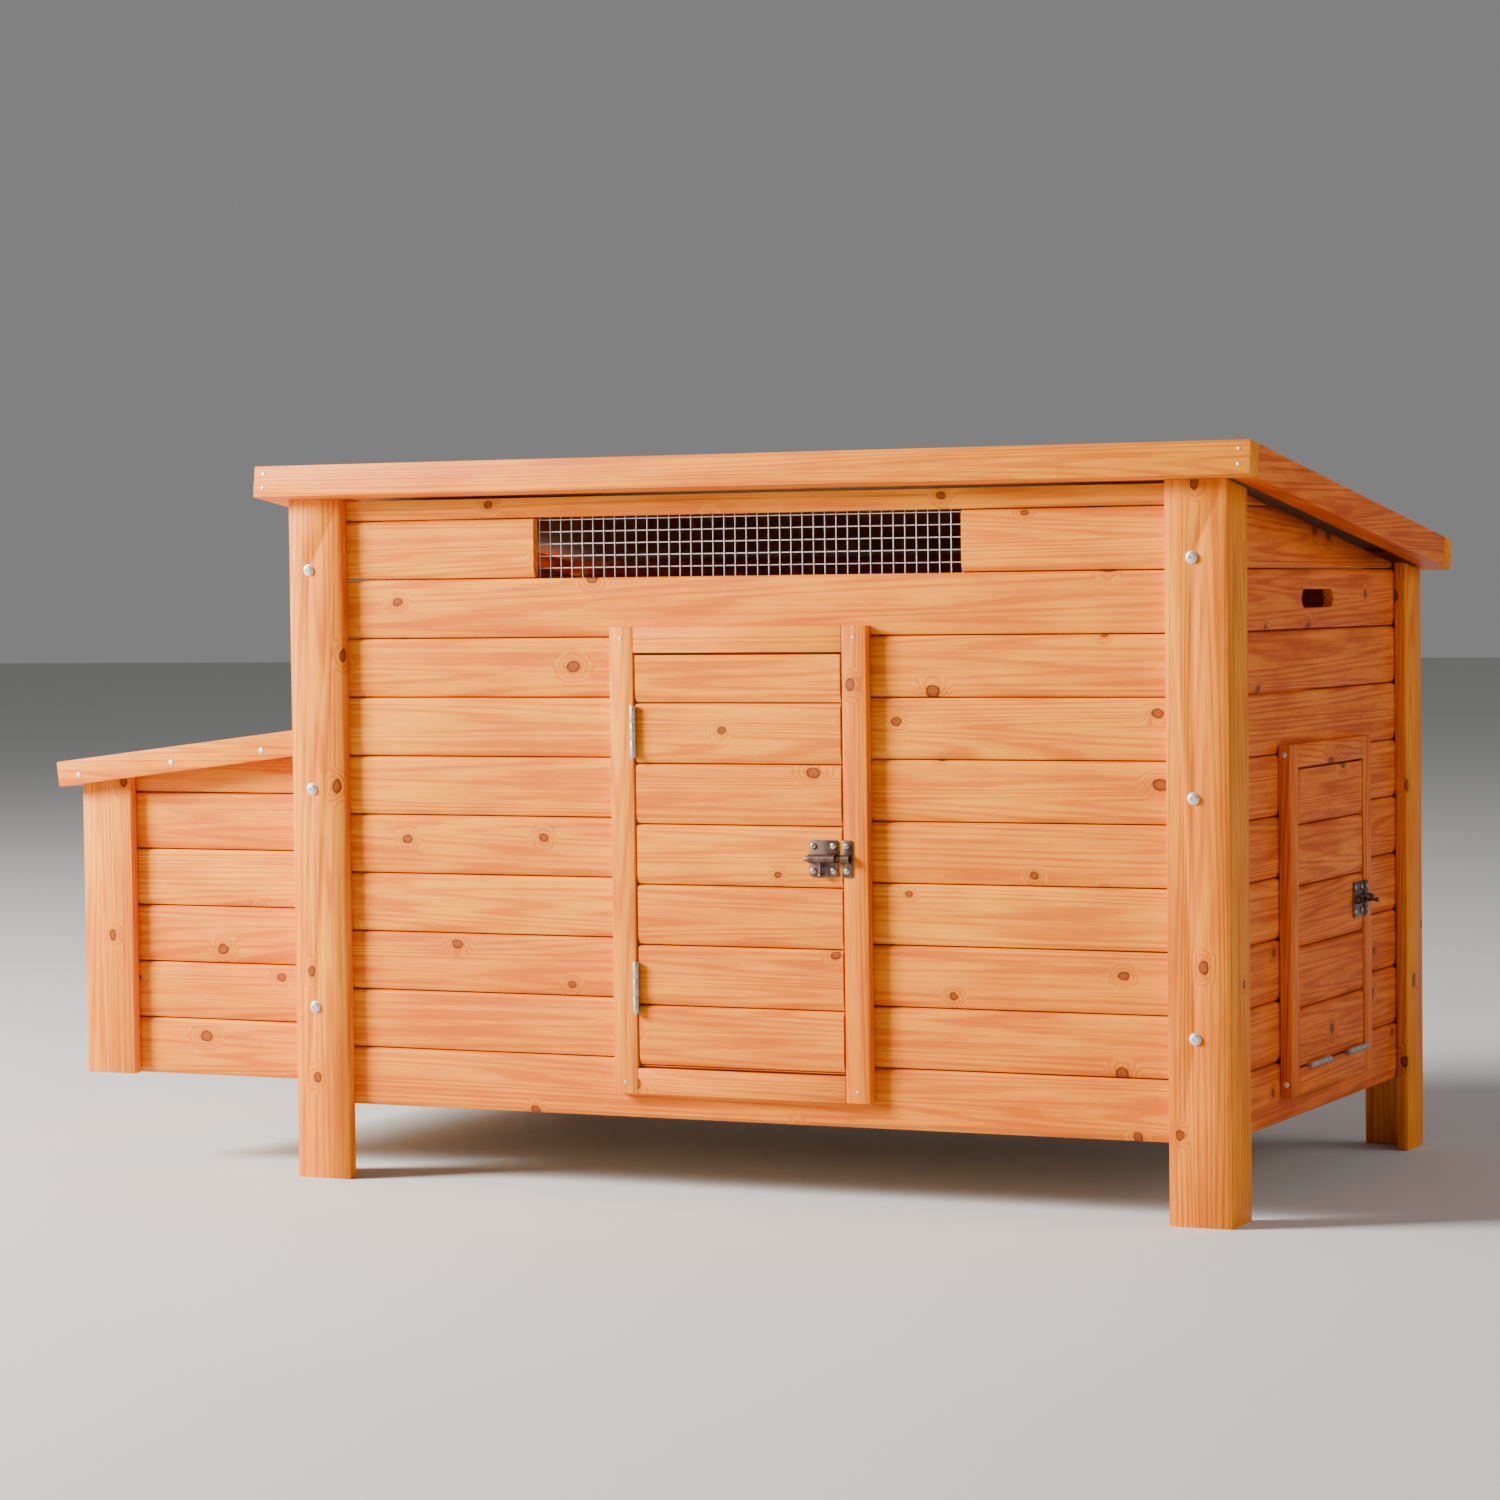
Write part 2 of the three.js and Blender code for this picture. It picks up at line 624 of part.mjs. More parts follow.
function nestBox() {
  const inner = nestWallX + BOARD_THICK + GAP;
  const frontOutline = () => outlineOf(nestSlopedWall(nestWallX, -postX - GAP));
  const frontWallMesh = piece(
    "nest_front_wall",
    planking(frontOutline(), NEST.bottom).translate(0, nestFrontY, 0),
    board,
  );
  const back = mirrored(planking(frontOutline(), NEST.bottom), "y");
  back.translate(0, wallY - nestFrontY, 0);
  const endReach = nestDepth / 2 - BOARD_THICK - GAP;
  const endTop = lidPanelBottomAt(nestWallX) - GAP;
  const end = piece(
    "nest_end_wall",
    planking(outlineOf(rectangle(-endReach, endReach, NEST.bottom, endTop)), NEST.bottom),
    board,
  );
  end.rotation.z = -Math.PI / 2;
  end.position.set(nestWallX, midY, 0);
  const sideReach = Math.min(endReach, midY - POST_DEPTH + TRIM_THICK - GAP);
  const floorLow = NEST.bottom + 5;
  const floorTop = floorLow + NEST_FLOOR_THICK;
  const floor = block(inner, -wallX - GAP, midY - sideReach, midY + sideReach, floorLow, floorTop);
  const railTop = LID_HEIGHT + 2;
  const dividerRight = -wallX - TRIM_THICK - 2 * GAP;
  const divider = acrossY(
    outlineOf([
      [inner, floorTop + GAP],
      [-wallX - GAP, floorTop + GAP],
      [-wallX - GAP, railTop - HINGE_RAIL_HEIGHT - GAP],
      [dividerRight, railTop - HINGE_RAIL_HEIGHT - GAP],
      [dividerRight, lidPanelBottomAt(dividerRight) - GAP],
      [inner, lidPanelBottomAt(inner) - GAP],
    ]),
    midY - NEST_DIVIDER_THICK / 2,
    midY + NEST_DIVIDER_THICK / 2,
  );
  const hingeRail = block(
    -postX,
    -wallX - GAP,
    midY - sideReach,
    midY + sideReach,
    railTop - HINGE_RAIL_HEIGHT,
    railTop,
  );
  return [
    frontWallMesh,
    piece("nest_back_wall", back, board),
    end,
    nestPost("nest_post_front", true),
    nestPost("nest_post_back", false),
    piece("nest_floor", floor, plywood),
    piece("nest_divider", divider, board),
    piece("lid_hinge_rail", hingeRail, trim),
  ];
}

// The lid, drawn flat with its hinge line at x = 0 and its top at z = 0, then tilted. Its
// upper end stands clear of the house by the tilt of its battens.
function nestLid() {
  const end = -(NEST.reach + LID_EAVES.end - LID_HINGE_GAP) / Math.cos(LID_SLOPE);
  const top = -LID_BATTEN_HEIGHT * Math.tan(LID_SLOPE);
  const half = midY - NEST.inset + LID_EAVES.side;
  const within = half - TRIM_THICK - GAP;
  const skirt = [-LID_BATTEN_HEIGHT, 0];
  const group = new THREE.Group();
  group.add(
    piece("lid_batten_front", block(end, top, -half, -half + TRIM_THICK, ...skirt), trim),
    piece("lid_batten_back", block(end, top, half - TRIM_THICK, half, ...skirt), trim),
    piece("lid_batten_end", block(end, end + TRIM_THICK, -within, within, ...skirt), trim),
    piece(
      "lid_panel",
      block(end + TRIM_THICK + GAP, top, -within, within, -LID_PANEL_THICK, 0),
      board,
    ),
  );
  group.rotation.y = -LID_SLOPE;
  group.position.set(lidX, midY, LID_HEIGHT);
  return group;
}

// ---- Assembly ------------------------------------------------------------------------------
const coop = new THREE.Group();

coop.add(frontWall(), windowMesh(), floorPanel());
const back = backWall();
back.rotation.z = Math.PI;
back.position.y = wallY;
coop.add(back);
for (const end of ["front", "back"]) {
  for (const side of ["left", "right"]) {
    coop.add(cornerPost(`corner_post_${end}_${side}`, side, end));
  }
}
coop.add(...screwPlaces.map(postBolt));

// Front door, hung on its left edge.
coop.add(...surround("door", FRONT_DOOR, ["left", "right"]));
coop.add(doorPanel("front_door", FRONT_DOOR));
const doorTop = FRONT_DOOR.bottom + FRONT_DOOR.height;
coop.add(
  ledge("door_ledge_lower", FRONT_DOOR, FRONT_DOOR.bottom + LEDGE_INSET),
  ledge("door_ledge_upper", FRONT_DOOR, doorTop - LEDGE_INSET),
);
const hingeX = FRONT_DOOR.centre - FRONT_DOOR.width / 2 + DOOR_GAP / 2;
["lower", "upper"].forEach((level, index) => {
  for (const leaf of buttHinge(`door_hinge_${level}`, FRONT_DOOR.hingeLength)) {
    leaf.position.set(hingeX, pinOut, FRONT_HINGE_HEIGHTS[index]);
    coop.add(leaf);
  }
});
coop.add(...placeBolt(barrelBolt("door", true), FRONT_DOOR, FRONT_LATCH_HEIGHT));

// Right-hand wall, drawn facing the front and turned to face +x, with the pop door hung on
// its lower edge.
const rightSide = new THREE.Group();
rightSide.rotation.z = Math.PI / 2;
rightSide.position.x = wallX;
rightSide.add(
  sideWall("right_wall", roofBottomAt, doorway(POP_DOOR), slotHole(SLOT.centre, SLOT.height)),
  ...surround("pop_door", POP_DOOR, ["front", "rear"]),
  doorPanel("pop_door", POP_DOOR),
);
["front", "rear"].forEach((place, index) => {
  for (const leaf of buttHinge(`pop_door_hinge_${place}`, POP_DOOR.hingeLength)) {
    leaf.rotation.y = -Math.PI / 2;
    leaf.position.set(
      POP_DOOR.centre + POP_HINGE_OFFSETS[index],
      pinOut,
      POP_DOOR.bottom + DOOR_GAP / 2,
    );
    rightSide.add(leaf);
  }
});
rightSide.add(...placeBolt(barrelBolt("pop_door", false), POP_DOOR, POP_LATCH_HEIGHT));
coop.add(rightSide);

// Left-hand wall, facing -x, with the two ways into the nest box.
const leftSide = new THREE.Group();
leftSide.rotation.z = -Math.PI / 2;
leftSide.position.set(-wallX, wallY, 0);
const entries = [-1, 1].map((way) => {
  const x = midY + (way * nestDepth) / 4;
  const half = ENTRY.width / 2;
  return outlineOf(rectangle(x - half, x + half, ENTRY.bottom, ENTRY.bottom + ENTRY.height));
});
leftSide.add(
  sideWall(
    "left_wall",
    (along) => roofBottomAt(wallY - along),
    ...entries,
    slotHole(wallY - SLOT.centre, SLOT.height),
  ),
);
coop.add(leftSide, ...nestBox(), nestLid(), roof());

// The origin moves to the middle of the coop's length and depth, at the ground.
const group = new THREE.Group();
group.add(coop);
coop.updateMatrixWorld(true);
const extent = new THREE.Box3().setFromObject(coop, true);
const centre = extent.getCenter(new THREE.Vector3());
coop.position.set(-centre.x, -centre.y, LEG_LENGTH);

export default group;
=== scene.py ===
import json
import math

import bpy
from mathutils import Matrix, Vector


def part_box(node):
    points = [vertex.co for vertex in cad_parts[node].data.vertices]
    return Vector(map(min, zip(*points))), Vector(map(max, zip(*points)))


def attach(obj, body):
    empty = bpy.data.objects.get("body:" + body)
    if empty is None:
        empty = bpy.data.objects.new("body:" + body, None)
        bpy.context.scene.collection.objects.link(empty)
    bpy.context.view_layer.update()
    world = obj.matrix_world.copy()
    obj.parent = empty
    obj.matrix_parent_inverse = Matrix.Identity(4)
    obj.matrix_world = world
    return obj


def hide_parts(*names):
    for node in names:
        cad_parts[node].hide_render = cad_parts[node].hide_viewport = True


# A timber chicken coop: a boarded house on four corner posts under a lean-to roof, with a nest
# box hung on its left-hand side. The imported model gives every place, in metres.
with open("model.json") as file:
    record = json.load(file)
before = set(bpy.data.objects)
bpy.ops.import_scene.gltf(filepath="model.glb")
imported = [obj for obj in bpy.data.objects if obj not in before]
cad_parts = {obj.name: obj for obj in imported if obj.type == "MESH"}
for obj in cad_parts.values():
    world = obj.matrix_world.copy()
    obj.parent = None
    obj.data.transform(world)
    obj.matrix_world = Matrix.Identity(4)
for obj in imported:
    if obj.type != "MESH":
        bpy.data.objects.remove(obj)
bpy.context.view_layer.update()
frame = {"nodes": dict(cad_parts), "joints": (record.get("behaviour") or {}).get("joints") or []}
bpy.ops.object.select_all(action="DESELECT")


# House walls. Tongue-and-groove boards of planed softwood lie one above another, their edges
# rounded so that every seam casts a dark line, under an orange honey glaze that shows the grain.
# The boards and trims of the right-hand side are coloured redder and darker than the rest. This is painted
# shade for the side that faces away from the key light.
BOARD_PITCH = 0.063
BOARD_THICK = 0.010
GLAZE = ((0.98, 0.350, 0.008), (0.70, 0.150, 0.002))
# The redder, darker glaze below is painted shade for the right-hand side.
SHADED_SIDE_GLAZE = ((0.93, 0.235, 0.024), (0.56, 0.085, 0.010))


def surface(name):
    """A new material, with its nodes, its way to link them and its shader."""
    material = bpy.data.materials.new(name)
    material.use_nodes = True
    tree = material.node_tree
    return material, tree.nodes, tree.links.new, tree.nodes["Principled BSDF"]


def pine(name, along, light, dark, seam=None, knot_share=0.9, knot_density=8.0):
    """Glazed softwood with its grain along one axis, and a tone for each board above a seam."""
    material, nodes, link, shader = surface(name)
    shader.inputs["Roughness"].default_value = 0.47
    shader.inputs["Specular IOR Level"].default_value = 0.12

    def feed(sockets, values):
        for socket, value in zip(sockets, values):
            if isinstance(value, (int, float)):
                socket.default_value = value
            elif isinstance(value, tuple):
                socket.default_value = (*value, 1)
            else:
                link(value, socket)

    def maths(operation, first, second=0.0, third=0.0):
        node = nodes.new("ShaderNodeMath")
        node.operation = operation
        feed(node.inputs, (first, second, third))
        return node.outputs[0]

    def point(x, y, z):
        node = nodes.new("ShaderNodeCombineXYZ")
        feed(node.inputs, (x, y, z))
        return node.outputs[0]

    def fade(value, low, high, start, end):
        node = nodes.new("ShaderNodeMapRange")
        node.interpolation_type = "SMOOTHSTEP"
        link(value, node.inputs["Value"])
        for socket, number in zip(node.inputs[1:5], (low, high, start, end)):
            socket.default_value = number
        return node.outputs[0]

    def noise(where, detail, roughness=0.5):
        node = nodes.new("ShaderNodeTexNoise")
        node.inputs["Scale"].default_value = 1.0
        node.inputs["Detail"].default_value = detail
        node.inputs["Roughness"].default_value = roughness
        link(where, node.inputs["Vector"])
        return node.outputs["Fac"]

    def blended(factor, first, second, mode="MIX"):
        node = nodes.new("ShaderNodeMix")
        node.data_type = "RGBA"
        node.blend_type = mode
        feed((node.inputs[0], node.inputs[6], node.inputs[7]), (factor, first, second))
        return node.outputs[2]

    place = nodes.new("ShaderNodeSeparateXYZ")
    link(nodes.new("ShaderNodeTexCoord").outputs["Object"], place.inputs[0])
    axes = dict(zip("xyz", place.outputs))
    length = axes.pop(along)
    across = maths("ADD", *axes.values())
    if seam is None:
        row = 0.0
        tone = noise(point(length, maths("MULTIPLY", across, 9.0), 0.0), 0.0)
        tone = fade(tone, 0.35, 0.65, 0.0, 1.0)
    else:
        row = maths("FLOOR", maths("DIVIDE", maths("SUBTRACT", place.outputs["Z"], seam), BOARD_PITCH))
        chance = nodes.new("ShaderNodeTexWhiteNoise")
        chance.noise_dimensions = "1D"
        link(maths("ADD", row, 0.37), chance.inputs["W"])
        tone = chance.outputs["Value"]
        length = maths("MULTIPLY_ADD", row, 2.7, length)

    # Knots: one to a cell at most, oval along the grain, with a dark rim and bent rings round it.
    knots = nodes.new("ShaderNodeTexVoronoi")
    knots.voronoi_dimensions = "2D"
    knots.inputs["Scale"].default_value = knot_density
    link(point(maths("MULTIPLY", length, 0.75), across, 0.0), knots.inputs["Vector"])
    lot = nodes.new("ShaderNodeSeparateColor")
    link(knots.outputs["Color"], lot.inputs[0])
    there = maths("LESS_THAN", lot.outputs[0], knot_share)
    wobble = noise(point(maths("MULTIPLY", length, 90.0), maths("MULTIPLY", across, 90.0), 0.0), 2.0)
    distance = maths("ADD", knots.outputs["Distance"], maths("MULTIPLY_ADD", wobble, 0.030, -0.015))
    size = maths("MULTIPLY_ADD", lot.outputs[1], 0.026, 0.024)
    nearness = maths("DIVIDE", distance, size)
    knot = maths("MULTIPLY", fade(nearness, 1.02, 0.82, 0.0, 1.0), there)
    from_rim = maths("ABSOLUTE", maths("SUBTRACT", nearness, 0.92))
    rim = maths("MULTIPLY", fade(from_rim, 0.30, 0.0, 0.0, 1.0), there)
    swirl = maths("MULTIPLY", fade(nearness, 3.4, 0.6, 0.0, 0.10), there)

    # Growth rings, long patches and fine fibres, all drawn out along the grain.
    stretched = point(maths("MULTIPLY", length, 0.5), maths("MULTIPLY", across, 15.0), row)
    rings = maths("ADD", noise(stretched, 2.0, 0.42), swirl)
    rings = maths("SINE", maths("MULTIPLY", rings, 170.0))
    rings = fade(rings, -0.3, 1.0, 0.0, 1.0)
    patches = noise(point(maths("MULTIPLY", length, 7.0), maths("MULTIPLY", across, 30.0), row), 4.0, 0.6)
    fibres = noise(point(maths("MULTIPLY", length, 7.0), maths("MULTIPLY", across, 340.0), row), 5.0, 0.7)
    shade = maths("MULTIPLY_ADD", rings, 0.22, fibres)
    shade = maths("MULTIPLY_ADD", patches, 0.90, maths("SUBTRACT", shade, 0.53))
    shade = fade(shade, 0.16, 0.80, 0.0, 1.0)

    # The glaze from light to dark, a deeper tone on some boards, then the knots.
    colour = blended(shade, light, dark)
    colour = blended(tone, colour, blended(1.0, colour, (0.93, 0.80, 0.66), "MULTIPLY"))
    colour = blended(maths("MULTIPLY", swirl, 3.5), colour, tuple(c * 0.75 for c in dark))
    colour = blended(maths("MULTIPLY", knot, 0.85), colour, (0.24, 0.045, 0.007))
    colour = blended(maths("MULTIPLY", rim, 0.85), colour, (0.07, 0.012, 0.003))
    link(colour, shader.inputs["Base Color"])
    bump = nodes.new("ShaderNodeBump")
    bump.inputs["Strength"].default_value = 0.35
    bump.inputs["Distance"].default_value = 0.0006
    link(maths("MULTIPLY_ADD", rings, -0.5, fibres), bump.inputs["Height"])
    link(bump.outputs[0], shader.inputs["Normal"])
    return material


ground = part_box("front_wall")[0].z
front_boards = pine("front board pine", "x", *GLAZE, seam=ground)
# The right-hand wall's boards take the darker glaze, as painted shade.
shaded_side_boards = pine("side board pine with painted shade", "y", *SHADED_SIDE_GLAZE, seam=ground)
left_boards = pine("left board pine", "y", *GLAZE, seam=ground)


def alone(*objects):
    """Selects these objects and nothing else."""
    bpy.ops.object.select_all(action="DESELECT")
    for piece in objects:
        piece.select_set(True)
    bpy.context.view_layer.objects.active = objects[0]


def fitted(piece, body, material, *nodes):
    """Gives a finished piece its material and hangs it on its body, in place of CAD nodes."""
    piece.data.materials.clear()
    piece.data.materials.append(material)
    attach(piece, body)
    if nodes:
        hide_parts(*nodes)
    return piece


def bevelled(piece, width, segments, picked):
    """Bevels the piece's edges for whose two ends picked says yes."""
    bpy.ops.object.mode_set(mode="EDIT")
    bpy.ops.mesh.select_mode(type="EDGE")
    bpy.ops.mesh.select_all(action="DESELECT")
    bpy.ops.object.mode_set(mode="OBJECT")
    corners = piece.data.vertices
    for edge in piece.data.edges:
        edge.select = picked(*(corners[v].co for v in edge.vertices))
    bpy.ops.object.mode_set(mode="EDIT")
    bpy.ops.mesh.bevel(offset=width, offset_type="OFFSET", segments=segments, affect="EDGES")
    bpy.ops.object.mode_set(mode="OBJECT")


def soften(piece, chosen, width, segments):
    """Bevels the piece's edges whose two ends both lie where chosen says."""
    bevelled(piece, width, segments, lambda a, b: chosen(a) and chosen(b))


def round_corners(piece, width, segments):
    """Rounds the edges that run through the piece from front to back, along y."""
    bevelled(piece, width, segments, lambda a, b: abs(a.y - b.y) > 1e-6)


def block(low, high):
    """A plain block between two corners, its origin at its middle."""
    centre = [(a + b) / 2 for a, b in zip(low, high)]
    bpy.ops.mesh.primitive_cube_add(size=1, location=centre)
    piece = bpy.context.object
    piece.scale = [b - a for a, b in zip(low, high)]
    bpy.ops.object.transform_apply(location=False)
    return piece


def carved(piece, tool, operation="DIFFERENCE"):
    """Takes a tool's shape away from the piece, or adds it, and uses the tool up."""
    alone(piece)
    step = piece.modifiers.new("carved", "BOOLEAN")
    step.operation = operation
    step.object = tool
    bpy.ops.object.modifier_apply(modifier=step.name)
    bpy.data.objects.remove(tool)


def plank(left, right, bottom, face, thick):
    """One board whose face looks towards -y, standing on a seam.

    Its lower edge is rounded while the board is squeezed in height, so that the round is
    taller than it is deep; the upper edge gets a plain round.
    """
    seam_gap = 0.0012
    depth_round = 0.0040
    squeeze = 3.2
    tall = BOARD_PITCH - seam_gap
    centre = ((left + right) / 2, face + thick / 2, bottom + BOARD_PITCH / 2)
    bpy.ops.mesh.primitive_cube_add(size=1, location=centre)
    board = bpy.context.object
    board.scale = (right - left, thick, tall / squeeze)
    bpy.ops.object.transform_apply(location=False)
    soften(board, lambda p: p.y < 0 and p.z < 0, depth_round, 5)
    board.scale = (1, 1, squeeze)
    bpy.ops.object.transform_apply(location=False)
    soften(board, lambda p: p.y < 0 and p.z > 0, depth_round, 4)
    bpy.ops.object.transform_apply()
    return board


def planking(name, left, right, low, high, seam, face=0.0, thick=BOARD_THICK):
    """Boards between two heights, cut off level at low and high, facing -y."""
    first = math.floor((low - seam) / BOARD_PITCH + 1e-4)
    last = math.ceil((high - seam) / BOARD_PITCH - 1e-4)
    boards = []
    for row in range(first, last):
        uneven = 0.00035 * math.sin(7.1 * row + 3 * seam)
        boards.append(plank(left, right, seam + row * BOARD_PITCH, face + uneven, thick))
    alone(*boards)
    if len(boards) > 1:
        bpy.ops.object.join()
    wall = bpy.context.object
    wall.name = name
    for height, upward in ((low, -1), (high, 1)):
        trimmed(wall, (0, 0, height), (0, 0, upward))
    return wall


def trimmed(piece, on, outward):
    """Saws off all of the piece on the outward side of a plane."""
    alone(piece)
    bpy.ops.object.mode_set(mode="EDIT")
    bpy.ops.mesh.select_all(action="SELECT")
    bpy.ops.mesh.bisect(plane_co=on, plane_no=outward, use_fill=True, clear_outer=True)
    bpy.ops.object.mode_set(mode="OBJECT")


def opened(piece, low, high, round_ends=0.0):
    """Cuts a hole between two corners through the piece."""
    hole = block(low, high)
    if round_ends:
        round_corners(hole, round_ends, 6)
    carved(piece, hole)


def turned(piece, quarter_turns, x, y):
    """Turns a piece made facing -y about the upright axis and moves it to its wall."""
    alone(piece)
    piece.rotation_euler = (0, 0, quarter_turns * math.pi / 2)
    piece.location = (x, y, 0)
    bpy.ops.object.transform_apply()
    bpy.ops.object.shade_smooth_by_angle(angle=math.radians(28))
    return piece


wall_low, wall_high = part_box("front_wall")
back_low, back_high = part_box("back_wall")
side_low, side_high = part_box("right_wall")
slope = (wall_high.z - back_high.z) / (back_high.y - wall_low.y - 2 * BOARD_THICK)
under_roof = Vector((0, slope, 1))
front_y, back_y = wall_low.y, back_high.y
house_middle = (wall_low.x + wall_high.x) / 2
roof_line = (0, front_y + BOARD_THICK, wall_high.z)
door_low, door_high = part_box("front_door")
pop_low, pop_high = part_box("pop_door")
DOOR_GAP = 0.0025
DOOR_STOP = 0.009
CUT_REACH = 0.1

front_wall = planking(
    "front_wall_boards", wall_low.x, wall_high.x, wall_low.z, wall_high.z, wall_low.z, front_y
)
opened(
    front_wall,
    (door_low.x - DOOR_GAP + DOOR_STOP, front_y - CUT_REACH, door_low.z - DOOR_GAP + DOOR_STOP),
    (door_high.x + DOOR_GAP - DOOR_STOP, front_y + CUT_REACH, door_high.z + DOOR_GAP - DOOR_STOP),
)
WINDOW_ROW = 9
WINDOW_HALF = 0.2435
WINDOW_OFF_MIDDLE = 0.0035
window_x = house_middle + WINDOW_OFF_MIDDLE
window_bottom = wall_low.z + WINDOW_ROW * BOARD_PITCH
opened(
    front_wall,
    (window_x - WINDOW_HALF, front_y - CUT_REACH, window_bottom),
    (window_x + WINDOW_HALF, front_y + CUT_REACH, window_bottom + BOARD_PITCH),
)
trimmed(front_wall, roof_line, under_roof)
turned(front_wall, 0, 0, 0)
fitted(front_wall, "coop", front_boards, "front_wall")

back_wall = planking("back_wall_boards", -back_high.x, -back_low.x, back_low.z, back_high.z, back_low.z)
turned(back_wall, 2, 0, back_y)
fitted(back_wall, "coop", front_boards, "back_wall")

SLOT_HALF = 0.054
SLOT_TALL = 0.0195
SLOT_ROUND = SLOT_TALL * 0.49
slot_y, slot_z = front_y + 0.3195, ground + 0.536
slot_low, slot_high = slot_z - SLOT_TALL / 2, slot_z + SLOT_TALL / 2
right_wall = planking("right_wall_boards", side_low.y, side_high.y, side_low.z, side_high.z, side_low.z)
opened(
    right_wall,
    (pop_low.y - DOOR_GAP + DOOR_STOP, -CUT_REACH, pop_low.z - DOOR_GAP + DOOR_STOP),
    (pop_high.y + DOOR_GAP - DOOR_STOP, CUT_REACH, pop_high.z + DOOR_GAP - DOOR_STOP),
)
opened(
    right_wall,
    (slot_y - SLOT_HALF, -CUT_REACH, slot_low),
    (slot_y + SLOT_HALF, CUT_REACH, slot_high),
    SLOT_ROUND,
)
turned(right_wall, 1, side_high.x, 0)
trimmed(right_wall, roof_line, under_roof)
fitted(right_wall, "coop", shaded_side_boards, "right_wall")

left_low, left_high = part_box("left_wall")
left_wall = planking("left_wall_boards", -left_high.y, -left_low.y, left_low.z, left_high.z, left_low.z)
nest_low, nest_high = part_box("nest_floor")
ENTRY_HALF = 0.1
entry_low, entry_high = ground + 0.082, ground + 0.312
for y in ((3 * nest_low.y + nest_high.y) / 4, (nest_low.y + 3 * nest_high.y) / 4):
    opened(
        left_wall,
        (-y - ENTRY_HALF, -CUT_REACH, entry_low),
        (-y + ENTRY_HALF, CUT_REACH, entry_high),
    )
opened(
    left_wall,
    (-slot_y - SLOT_HALF, -CUT_REACH, slot_low),
    (-slot_y + SLOT_HALF, CUT_REACH, slot_high),
    SLOT_ROUND,
)
turned(left_wall, 3, left_low.x, 0)
trimmed(left_wall, roof_line, under_roof)
fitted(left_wall, "coop", left_boards, "left_wall")


# Window. Welded half-inch wire mesh is stapled behind the gap in the top row: straight zinc
# wires, the upright ones in front, with a weld at each crossing.
def speckled(nodes, link, shader, where, scale, detail, dark, light, low=0.0, high=1.0):
    """Colours a shader with noise, dark up to low and light from high, and hands on the noise."""
    speckle = nodes.new("ShaderNodeTexNoise")
    speckle.inputs["Scale"].default_value = scale
    speckle.inputs["Detail"].default_value = detail
    link(where, speckle.inputs["Vector"])
    tint = nodes.new("ShaderNodeValToRGB")
    dark_end, light_end = tint.color_ramp.elements
    dark_end.position, dark_end.color = low, (*dark, 1)
    light_end.position, light_end.color = high, (*light, 1)
    link(speckle.outputs["Fac"], tint.inputs[0])
    link(tint.outputs[0], shader.inputs["Base Color"])
    return speckle.outputs["Fac"]


def metal(name, colour, worn, roughness, mottling=260.0):
    """Plated metal, mottled between its own colour and a worn one."""
    material, nodes, link, shader = surface(name)
    shader.inputs["Metallic"].default_value = 0.9
    where = nodes.new("ShaderNodeTexCoord").outputs["Object"]
    mottle = speckled(nodes, link, shader, where, mottling, 4.0, worn, colour, 0.35, 0.62)
    gloss = nodes.new("ShaderNodeMapRange")
    gloss.inputs["To Min"].default_value = roughness + 0.12
    gloss.inputs["To Max"].default_value = roughness - 0.08
    link(mottle, gloss.inputs["Value"])
    link(gloss.outputs[0], shader.inputs["Roughness"])
    return material


zinc = metal("zinc plate", (0.88, 0.89, 0.90), (0.68, 0.69, 0.70), 0.36)
MESH_PITCH = 0.0127
MESH_ROWS = 7
MESH_BEHIND = 0.0012
WIRE_R = 0.00052
WIRE_PAST = 0.002
mesh_y = front_y + BOARD_THICK + MESH_BEHIND
mesh_low, mesh_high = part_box("window_mesh")
first_wire = ground + 0.5772 - MESH_PITCH


def wire(length, centre, turn):
    """One straight wire with closed ends."""
    bpy.ops.mesh.primitive_cylinder_add(
        vertices=6, radius=WIRE_R, depth=length, location=centre, rotation=turn, end_fill_type="TRIFAN"
    )
    return bpy.context.object


mesh_tall = (MESH_ROWS - 1) * MESH_PITCH
mesh_wide = mesh_high.x - mesh_low.x
wires = []
for row in range(MESH_ROWS):
    height = first_wire + row * MESH_PITCH
    wires.append(wire(mesh_wide, (window_x, mesh_y + 1.5 * WIRE_R, height), (0, math.pi / 2, 0)))
columns = int(mesh_wide / MESH_PITCH)
for column in range(columns):
    x = window_x + (column - (columns - 1) / 2) * MESH_PITCH
    lean = 0.002 * math.sin(5.0 * column)
    wires.append(wire(mesh_tall + 2 * WIRE_PAST, (x, mesh_y, first_wire + mesh_tall / 2), (0, lean, 0)))
alone(*wires)
bpy.ops.object.join()
window_mesh = bpy.context.object
window_mesh.name = "window_wire_mesh"
bpy.ops.object.transform_apply()
bpy.ops.object.shade_smooth_by_angle(angle=math.radians(40))
fitted(window_mesh, "coop", zinc, "window_mesh")


# Corner posts. Two planed boards are nailed into an L at each corner; they run from under the
# roof to the ground as the coop's legs, with their sharp edges taken off.
TRIM_GLAZE = ((0.98, 0.335, 0.008), (0.70, 0.150, 0.003))
POST_EDGE = 0.0018
upright_trim = pine("upright trim pine", "z", *TRIM_GLAZE, knot_share=0.75)


